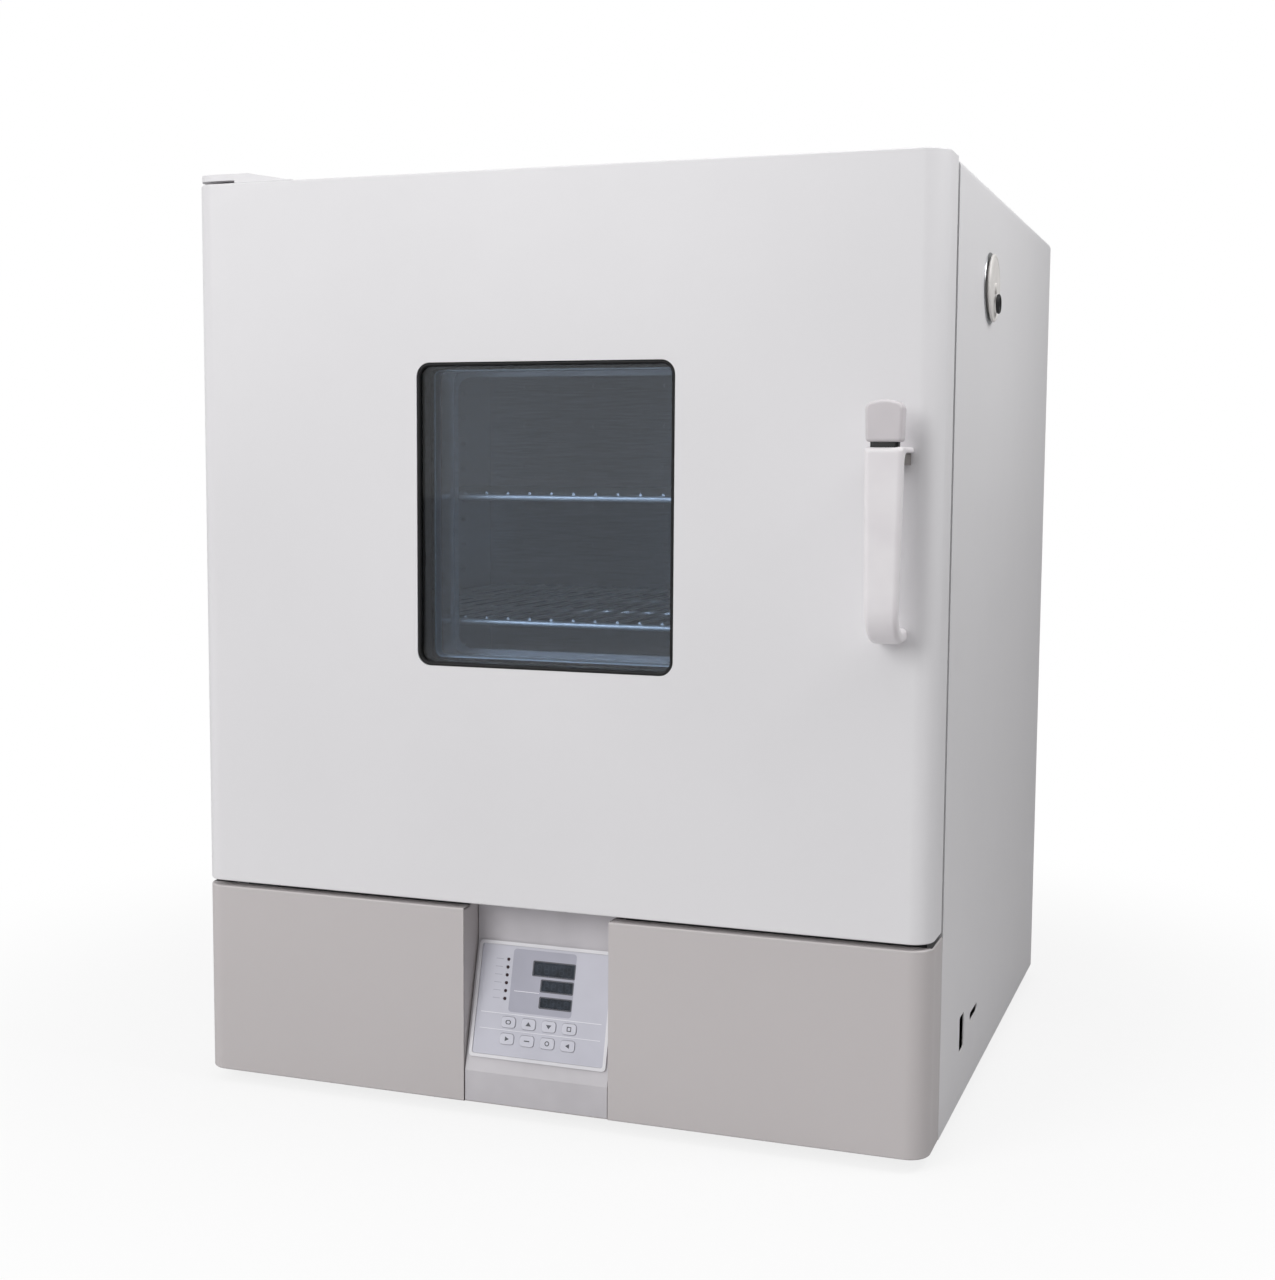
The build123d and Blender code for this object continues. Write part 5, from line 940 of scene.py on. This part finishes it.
class OVEN_OT_port(bpy.types.Operator):
    """Makes the cable port: spun sleeve flange, rubber cap and small pull loop"""

    bl_idname = "oven.port"
    bl_label = "Cable port"

    def execute(self, context):
        low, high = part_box("cable_port_sleeve")
        y, z = (low.y + high.y) / 2, (low.z + high.z) / 2
        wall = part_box("outer_casing")[1].x
        sleeve = [
            (0.024, low.x),
            (0.0255, low.x),
            (0.0255, wall),
            (0.0326, wall),
            (0.033, wall + 0.0004),
            (0.0326, wall + 0.001),
            (0.0252, wall + 0.001),
            (0.024, wall + 0.0004),
        ]
        tube = mesh_object(lathe(sleeve, (0, y, z), (1, 0, 0), 64), "port_sleeve")
        piece(tube, "spun_aluminium", "cabinet", ["cable_port_sleeve"])
        plug_low, plug_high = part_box("cable_port_plug")
        cap = wall + 0.003
        plug = [
            (0, plug_low.x),
            (0.0212, plug_low.x),
            (0.0222, plug_low.x + 0.001),
            (0.0237, cap),
            (0.0304, cap),
            (0.031, cap + 0.0006),
            (0.031, cap + 0.0014),
            (0.0302, cap + 0.0023),
            (0.0288, cap + 0.0025),
            (0.0284, cap + 0.0021),
            (0.0274, cap + 0.0021),
            (0.027, cap + 0.0025),
            (0.0052, cap + 0.0025),
            (0.0046, cap + 0.0041),
            (0, cap + 0.0041),
        ]
        stopper = mesh_object(lathe(plug, (0, y, z), (1, 0, 0), 64), "port_plug")
        loop_radius, thick = 0.0075, 0.0016
        middle = Vector((plug_high.x - thick, y, z - 0.0145))
        path = []
        for i in range(40):
            a = 2 * math.pi * i / 40
            out = Vector((0, math.cos(a), math.sin(a)))
            path.append((middle + out * loop_radius, out, Vector((1, 0, 0))))
        loop = mesh_object(sweep(path, arc((0, 0), thick, 0, 324, 9)), "port_pull_loop")
        piece(loop, "black_thermoset", "cable_port_plug")
        piece(stopper, "pale_silicone", "cable_port_plug", ["cable_port_plug"])
        return {"FINISHED"}


PANEL_TILT = math.radians(15)
PANEL_ORIGIN = Vector((-0.0065, -0.327, 0.042))
PANEL_RIGHT = Vector((1, 0, 0))
PANEL_UP = Vector((0, math.sin(PANEL_TILT), math.cos(PANEL_TILT)))
PANEL_OUT = Vector((0, -math.cos(PANEL_TILT), math.sin(PANEL_TILT)))
KEY_COLUMNS = (-31.3, -11.2, 9.0, 29.2)
KEY_ROWS = (47.6, 32.4)
# Middle, width, height and digits of each display, in mm on the panel
DISPLAYS = ((8.6, 99.0, 40.4, 12.2, 5), (13.0, 83.8, 30.8, 9.8, 4), (13.1, 68.5, 30.6, 8.9, 4))
MEMBRANE_TOP, KEY_TOP, LENS_TOP, BEZEL_TOP = 1.2, 2.1, 0.9, 1.6
LAMP_ROW, LAMP_PITCH, LAMPS = 104.5, 7.22, 6


def plate(name, outer, lift, thickness, holes=()):
    """A thin print or plate on the panel, from a flat outline with holes, in mm."""
    curve = bpy.data.curves.new(name, "CURVE")
    curve.dimensions = "2D"
    curve.fill_mode = "BOTH"
    curve.extrude = thickness / 2 * MM
    for outline in (outer, *holes):
        line = curve.splines.new("POLY")
        line.points.add(len(outline) - 1)
        for point, (u, v) in zip(line.points, outline):
            point.co = (u * MM, v * MM, 0, 1)
        line.use_cyclic_u = True
    shown = linked(name, curve)
    bpy.context.view_layer.update()
    seen = shown.evaluated_get(bpy.context.evaluated_depsgraph_get())
    mesh = bpy.data.meshes.new_from_object(seen)
    bpy.data.objects.remove(shown)
    turn = Matrix((PANEL_RIGHT, PANEL_UP, PANEL_OUT)).transposed().to_4x4()
    middle = PANEL_ORIGIN + PANEL_OUT * (lift + thickness / 2) * MM
    mesh.transform(Matrix.Translation(middle) @ turn)
    return linked(name, mesh)


class OVEN_OT_console(bpy.types.Operator):
    """Makes the print on the membrane, the display segments and the key symbols"""

    bl_idname = "oven.console"
    bl_label = "Console print"

    def execute(self, context):
        top, film, ink = MEMBRANE_TOP, 0.06, 0.05
        windows = [around(u, v, w / 2, h / 2, 0.6, 2) for u, v, w, h, _ in DISPLAYS]
        field = plate("display_field", round_rect(-33, 29.8, 57.2, 115.3, 3, 6), top, film, windows)
        piece(field, "membrane_print_dark", "cabinet")
        rims = [
            plate("rim", around(u, v, w / 2 + 1.1, h / 2 + 1.1, 1.4, 4), top + film, ink, [hole])
            for (u, v, w, h, _), hole in zip(DISPLAYS, windows)
        ]
        piece(merged("display_rims", rims), "print_ink", "cabinet")
        lines = [
            plate("line", round_rect(-60, 60, 54.8, 55.4, 0.25, 2), top, ink),
            plate("line", round_rect(-60, 60, 40.0, 40.5, 0.2, 2), top, ink),
            plate("line", round_rect(-29, -4, 76.4, 77.0, 0.25, 2), top + film, ink),
        ]
        piece(merged("membrane_lines", lines), "print_white", "cabinet")
        rows = [LAMP_ROW - LAMP_PITCH * n for n in range(LAMPS)]
        ticks = [
            plate("tick", round_rect(-50, -42.5, row, row + 0.6, 0.25, 2), top, ink) for row in rows
        ]
        piece(merged("lamp_ticks", ticks), "membrane_print_dark", "cabinet")
        outer = round_rect(-67.9, 67.9, 13.5, 120.9, 3.9, 6)
        inner = round_rect(-64.9, 64.9, 16.5, 117.9, 2.1, 6)
        # The bezel trim's light grey is partly its own plastic and partly painted highlight along the rim
        trim = plate("bezel_trim", outer, BEZEL_TOP, 0.35, [inner])
        eased(trim, 0.00015, 2, 50)
        piece(trim, "bezel_moulding", "cabinet")
        self.segments()
        self.symbols()
        return {"FINISHED"}

    def segments(self):
        """Unlit seven-segment digits behind the smoked lenses."""
        parts = []
        thin = 0.34
        for u, v, w, h, count in DISPLAYS:
            step = w / (count + 0.4)
            dh, dw = h * 0.62, step * 0.52
            flats = [(0, dh / 2), (0, 0), (0, -dh / 2)]
            uprights = [(dw / 2, dh / 4), (-dw / 2, dh / 4), (dw / 2, -dh / 4), (-dw / 2, -dh / 4)]
            for d in range(count):
                cx = u - w / 2 + step * (d + 0.7)
                bars = [(dx, dy, dw * 0.42, thin) for dx, dy in flats]
                bars += [(dx, dy, thin, dh * 0.2) for dx, dy in uprights]
                for dx, dy, p, q in bars:
                    a, b = cx + dx, v + dy
                    bar = [(a - p, b - q), (a + p, b - q), (a + p, b + q), (a - p, b + q)]
                    parts.append(plate("segment", bar, LENS_TOP, 0.03))
        piece(merged("display_segments", parts), "unlit_segment", "cabinet")

    def symbols(self):
        """A plain symbol on each key: triangles, a ring, a bar, a square and the like."""
        shapes = (
            round_rect(-2.4, 2.4, -1.7, 1.7, 1.6, 5),
            [(-2.4, -1.4), (2.4, -1.4), (0, 1.9)],
            [(-2.4, 1.4), (0, -1.9), (2.4, 1.4)],
            round_rect(-1.9, 1.9, -1.9, 1.9, 0.3, 2),
            [(-1.5, -1.9), (2.0, 0), (-1.5, 1.9)],
            round_rect(-2.4, 2.4, -0.45, 0.45, 0.3, 2),
            arc((0, 0), 2.0, 0, 345, 23),
            [(1.5, -1.9), (1.5, 1.9), (-2.0, 0)],
        )
        hollow, size, inside = (1, 4, 7), 1.15, 0.72
        spots = [(column, row) for row in KEY_ROWS for column in KEY_COLUMNS]
        for number, ((u, v), shape) in enumerate(zip(spots, shapes), 1):
            outline = [(u + size * a, v + size * b) for a, b in shape]
            holes = [[(u + inside * a, v + inside * b) for a, b in shape]] if number in hollow else []
            mark = plate(f"key_symbol_{number}", outline, KEY_TOP, 0.04, holes)
            piece(mark, "print_ink", f"key_{number}")


def geometry_tree(name, inputs):
    """Starts a geometry tree with named inputs, and returns it with their sockets."""
    tree = bpy.data.node_groups.new(name, "GeometryNodeTree")
    tree.interface.new_socket(name="Geometry", in_out="INPUT", socket_type="NodeSocketGeometry")
    for label, kind in inputs.items():
        tree.interface.new_socket(name=label, in_out="INPUT", socket_type=f"NodeSocket{kind}")
    tree.interface.new_socket(name="Geometry", in_out="OUTPUT", socket_type="NodeSocketGeometry")
    return tree, add_node(tree, "NodeGroupInput").outputs


def close_tree(tree, shape, finish):
    """Ends a geometry tree: makes its instances real and coats them."""
    real = add_node(tree, "GeometryNodeRealizeInstances", {"Geometry": shape})
    coated = {"Geometry": real.outputs[0], "Material": finish}
    coated = add_node(tree, "GeometryNodeSetMaterial", coated)
    add_node(tree, "NodeGroupOutput", {"Geometry": coated.outputs[0]})


def grown(host, tree, values):
    """Runs a geometry tree on a host with its inputs set by their sockets' identifiers."""
    change = host.modifiers.new("grown", "NODES")
    change.node_group = tree
    names = {
        item.name: item.identifier
        for item in tree.interface.items_tree
        if item.item_type == "SOCKET" and item.in_out == "INPUT"
    }
    for name, value in values.items():
        change[names[name]] = value
    return settled(host)


def screw_tree():
    """Geometry tree: a pan-head screw on every point of a mesh, turned to the point's facing."""
    inputs = {"Head": "Object", "Size": "Float", "Finish": "Material"}
    tree, given = geometry_tree("pan_head_screws", inputs)
    head = add_node(tree, "GeometryNodeObjectInfo", {"Object": given["Head"]}).outputs["Geometry"]
    kept = add_node(
        tree, "GeometryNodeInputNamedAttribute", {"Name": "facing"}, data_type="FLOAT_VECTOR"
    ).outputs["Attribute"]
    facing = add_node(tree, "FunctionNodeAlignRotationToVector", {"Vector": kept}, axis="Z")
    spread = {
        "Points": given["Geometry"],
        "Instance": head,
        "Rotation": facing.outputs[0],
        "Scale": given["Size"],
    }
    spread = add_node(tree, "GeometryNodeInstanceOnPoints", spread)
    close_tree(tree, spread.outputs[0], given["Finish"])
    return tree


def pan_head():
    """One pan head of radius 1 with a cross recess, standing on z 0."""
    profile = [(0, -0.1), (0.98, -0.1), (1.0, 0.05), (0.96, 0.36), (0.8, 0.55), (0.5, 0.65), (0, 0.67)]
    head = mesh_object(lathe(profile, (0, 0, 0), (0, 0, 1), 20), "pan_head")
    return cut(head, block(-0.5, 0.5, -0.1, 0.1, 0.3, 1.0), block(-0.1, 0.1, -0.5, 0.5, 0.3, 1.0))


class OVEN_OT_fasteners(bpy.types.Operator):
    """Puts pan-head screws on the back cover and the hinge bracket"""

    bl_idname = "oven.fasteners"
    bl_label = "Screws"

    def execute(self, context):
        low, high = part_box("outer_casing")
        inset = 0.013
        rise = (high.z - low.z) / 4 - 0.008
        middle = (low.z + high.z) / 2
        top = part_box("upper_hinge_bracket")[1].z
        spots = bmesh.new()
        facing = spots.verts.layers.float_vector.new("facing")

        def spot(place, towards):
            spots.verts.new(place)[facing] = towards

        for side in (low.x + inset, high.x - inset):
            for row in range(-2, 3):
                spot((side, high.y, middle + row * rise), (0, 1, 0))
        for dx in (0.013, 0.043):
            for dy in (0.015, 0.055):
                spot((low.x + dx, low.y + dy, top), (0, 0, 1))
        host, head = mesh_object(spots, "cover_screws"), pan_head()
        finish = FINISHES["zinc_plated_steel"]
        grown(host, screw_tree(), {"Head": head, "Size": sizes().screw, "Finish": finish})
        bpy.data.objects.remove(head)
        piece(host, "zinc_plated_steel", "cabinet", ["cabinet_screws"])
        return {"FINISHED"}


def shelf_tree():
    """Geometry tree: a rail frame, cross rods and evenly spaced wires from front to back."""
    lengths = ("Width", "Depth", "Rail radius", "Wire radius", "Cross radius", "Wire height")
    inputs = {name: "Float" for name in lengths}
    inputs.update({"Wires": "Int", "Place": "Vector", "Finish": "Material"})
    tree, given = geometry_tree("wire_shelf", inputs)

    def spot(**axes):
        return add_node(tree, "ShaderNodeCombineXYZ", axes).outputs[0]

    def rod(curve, radius, sides):
        ring = {"Resolution": sides, "Radius": radius}
        ring = add_node(tree, "GeometryNodeCurvePrimitiveCircle", ring).outputs["Curve"]
        tube = {"Curve": curve, "Profile Curve": ring, "Fill Caps": True}
        return add_node(tree, "GeometryNodeCurveToMesh", tube).outputs[0]

    def line(start, end):
        ends = {"Start": start, "End": end}
        return add_node(tree, "GeometryNodeCurvePrimitiveLine", ends).outputs[0]

    def row(count, first, offset, part):
        points = {"Count": count, "Start Location": first, "Offset": offset}
        points = add_node(tree, "GeometryNodeMeshLine", points).outputs[0]
        spread = {"Points": points, "Instance": part}
        return add_node(tree, "GeometryNodeInstanceOnPoints", spread).outputs[0]

    def times(one, two):
        return maths(tree, "MULTIPLY", one, two)

    width, depth = given["Width"], given["Depth"]
    outline = {"Width": width, "Height": depth}
    outline = add_node(tree, "GeometryNodeCurvePrimitiveQuadrilateral", outline).outputs[0]
    bent = {"Curve": outline, "Radius": 0.022, "Count": 8, "Limit Radius": True}
    bent = add_node(tree, "GeometryNodeFilletCurve", bent, mode="POLY").outputs[0]
    rail = rod(bent, given["Rail radius"], 14)

    half = times(depth, 0.5)
    wire = rod(line(spot(Y=times(half, -1.0)), spot(Y=half)), given["Wire radius"], 8)
    pitch = maths(tree, "DIVIDE", width, maths(tree, "ADD", given["Wires"], 1.0))
    span = times(pitch, maths(tree, "SUBTRACT", given["Wires"], 1.0))
    first = spot(X=times(span, -0.5), Z=given["Wire height"])
    wires = row(given["Wires"], first, spot(X=pitch), wire)

    half = times(width, 0.5)
    cross = rod(line(spot(X=times(half, -1.0)), spot(X=half)), given["Cross radius"], 10)
    third = times(depth, 0.32)
    crosses = row(2, spot(Y=times(third, -0.5)), spot(Y=third), cross)

    join = add_node(tree, "GeometryNodeJoinGeometry")
    for part in (rail, wires, crosses):
        tree.links.new(part, join.inputs[0])
    moved = {"Geometry": join.outputs[0], "Translation": given["Place"]}
    moved = add_node(tree, "GeometryNodeTransform", moved).outputs[0]
    close_tree(tree, moved, given["Finish"])
    return tree


class OVEN_OT_shelves(bpy.types.Operator):
    """Makes the two wire shelves with round rails and wires"""

    bl_idname = "oven.shelves"
    bl_label = "Wire shelves"

    def execute(self, context):
        tree = shelf_tree()
        rail = 0.003
        for name in ("shelf_lower", "shelf_upper"):
            low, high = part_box(name)
            values = {
                "Width": high.x - low.x - 2 * rail,
                "Depth": high.y - low.y - 2 * rail,
                "Rail radius": rail,
                "Wire radius": sizes().wire,
                "Cross radius": 0.0025,
                "Wire height": 0.0037,
                "Wires": sizes().wires,
                "Place": ((low.x + high.x) / 2, (low.y + high.y) / 2, low.z + rail),
                "Finish": FINISHES["drawn_bright_wire"],
            }
            host = grown(mesh_object(bmesh.new(), f"{name}_wires"), tree, values)
            piece(host, "drawn_bright_wire", name, [name])
        return {"FINISHED"}


class OVEN_OT_stage(bpy.types.Operator):
    """Sets the floor, the lamps, the world and the camera"""

    bl_idname = "oven.stage"
    bl_label = "Stage"

    def execute(self, context):
        self.floor()
        self.world(context.scene)
        self.lamps()
        self.camera(context.scene)
        context.scene.view_settings.view_transform = "Standard"
        return {"FINISHED"}

    def seen(self, tree):
        """One for what the camera sees, straight or through glass."""
        ray = add_node(tree, "ShaderNodeLightPath").outputs
        return maths(tree, "MAXIMUM", ray["Is Camera Ray"], ray["Is Transmission Ray"])

    def floor(self):
        """A plain pale floor that shows white to the camera and keeps a soft shadow."""
        shape = bmesh.new()
        bmesh.ops.create_grid(shape, x_segments=1, y_segments=1, size=30.0)
        ground = mesh_object(shape, "floor")
        made = bpy.data.materials.new("pale_floor")
        made.use_nodes = True
        tree = made.node_tree
        tree.nodes.clear()
        seen = self.seen(tree)
        tone = {0: seen, 6: paint("C6C5C6"), 7: paint("E9E9E9")}
        tone = add_node(tree, "ShaderNodeMix", tone, data_type="RGBA").outputs[2]
        dull = add_node(tree, "ShaderNodeBsdfDiffuse", {"Color": tone}).outputs[0]
        white = add_node(tree, "ShaderNodeEmission", {"Color": (1, 1, 1, 1), "Strength": 1.0})
        place = add_node(tree, "ShaderNodeTexCoord").outputs["Object"]
        away = add_node(tree, "ShaderNodeVectorMath", {0: place}, operation="LENGTH")
        # The shadow fades out between these distances from the oven's middle, in metres
        fade = {"Value": away.outputs["Value"], "From Min": 0.45, "From Max": 1.1}
        fade.update({"To Min": 0.82, "To Max": 1.0})
        spread = add_node(tree, "ShaderNodeMapRange", fade, interpolation_type="SMOOTHSTEP")
        share = maths(tree, "MULTIPLY", seen, spread.outputs[0])
        mixed = add_node(tree, "ShaderNodeMixShader", {0: share, 1: dull, 2: white.outputs[0]})
        add_node(tree, "ShaderNodeOutputMaterial", {"Surface": mixed.outputs[0]})
        ground.data.materials.append(made)

    def world(self, scene):
        """White to the camera and through glass, and else a fill that is weaker from the right."""
        made = bpy.data.worlds.new("studio")
        made.use_nodes = True
        tree = made.node_tree
        tree.nodes.clear()
        towards = add_node(tree, "ShaderNodeTexCoord").outputs["Generated"]
        across = add_node(tree, "ShaderNodeSeparateXYZ", {"Vector": towards}).outputs["X"]
        sides = {"Value": across, "From Min": -0.5, "From Max": 0.9, "To Min": 0.58, "To Max": 0.1}
        fill = add_node(tree, "ShaderNodeMapRange", sides).outputs[0]
        level = ranged(tree, self.seen(tree), fill, 1.0)
        back = {"Color": (1, 1, 1, 1), "Strength": level}
        back = add_node(tree, "ShaderNodeBackground", back).outputs[0]
        add_node(tree, "ShaderNodeOutputWorld", {"Surface": back})
        scene.world = made

    def lamps(self):
        """A broad soft key from the front left, a weaker lamp on top and a near one at the side."""
        for name, place, aim, size, power in (
            ("key", (-1.8, -3.6, 2.2), (0, -0.1, 0.45), 2.4, 79.0),
            ("top", (0.4, -1.0, 3.4), (0, 0, 0.4), 2.6, 20.0),
            ("side", (1.2, -0.25, 1.5), (0.36, -0.1, 0.8), 0.6, 10.0),
        ):
            lamp = bpy.data.lights.new(name, "AREA")
            lamp.shape = "SQUARE"
            lamp.size = size
            lamp.energy = power
            held = linked(name, lamp)
            held.location = place
            held.rotation_euler = (Vector(aim) - Vector(place)).to_track_quat("-Z", "Y").to_euler()

    def camera(self, scene):
        """The photograph's point of view, in the oven's own frame."""
        yaw, pitch, roll = (math.radians(a) for a in (-19.589, 5.434, 0.391))
        flat = Vector((math.sin(yaw), math.cos(yaw), 0)) * math.cos(pitch)
        ahead = flat - Vector((0, 0, math.sin(pitch)))
        right = Vector((math.cos(yaw), -math.sin(yaw), 0))
        up = right.cross(ahead)
        right, up = (
            right * math.cos(roll) + up * math.sin(roll),
            up * math.cos(roll) - right * math.sin(roll),
        )
        lens_data = bpy.data.cameras.new("camera")
        lens_data.sensor_width = 36.0
        lens_data.lens = 51.21
        lens_data.clip_end = 100.0
        held = linked("camera", lens_data)
        turn = Matrix((right, up, -ahead)).transposed().to_4x4()
        held.matrix_world = Matrix.Translation((0.62439, -1.82758, 0.60155)) @ turn
        scene.camera = held


class OVEN_PT_panel(bpy.types.Panel):
    """Lists the oven's sizes, colours and pieces"""

    bl_idname = "OVEN_PT_panel"
    bl_label = "Drying oven"
    bl_space_type = "VIEW_3D"
    bl_region_type = "UI"
    bl_category = "Oven"

    def draw(self, context):
        for group in (sizes(), colours()):
            for name in group.bl_rna.properties.keys():
                if name not in ("rna_type", "name"):
                    self.layout.prop(group, name)
        for operator in OPERATORS:
            self.layout.operator(operator.bl_idname)


OPERATORS = (
    OVEN_OT_finish_solids,
    OVEN_OT_casing,
    OVEN_OT_door_skin,
    OVEN_OT_lower_cover,
    OVEN_OT_hinge_bracket,
    OVEN_OT_window,
    OVEN_OT_handle,
    OVEN_OT_port,
    OVEN_OT_console,
    OVEN_OT_fasteners,
    OVEN_OT_shelves,
    OVEN_OT_stage,
)
CLASSES = (OvenSizes, OvenColours, *OPERATORS, OVEN_PT_panel)


def register():
    """Registers the classes and hangs the sizes and colours on the scene."""
    for each in CLASSES:
        bpy.utils.register_class(each)
    bpy.types.Scene.oven_sizes = PointerProperty(type=OvenSizes)
    bpy.types.Scene.oven_colours = PointerProperty(type=OvenColours)


def unregister():
    """Takes them off again."""
    del bpy.types.Scene.oven_colours
    del bpy.types.Scene.oven_sizes
    for each in reversed(CLASSES):
        bpy.utils.unregister_class(each)


def main():
    """Makes every piece in order."""
    register()
    for operator in OPERATORS:
        group, name = operator.bl_idname.split(".")
        getattr(getattr(bpy.ops, group), name)()


if __name__ == "__main__":
    main()
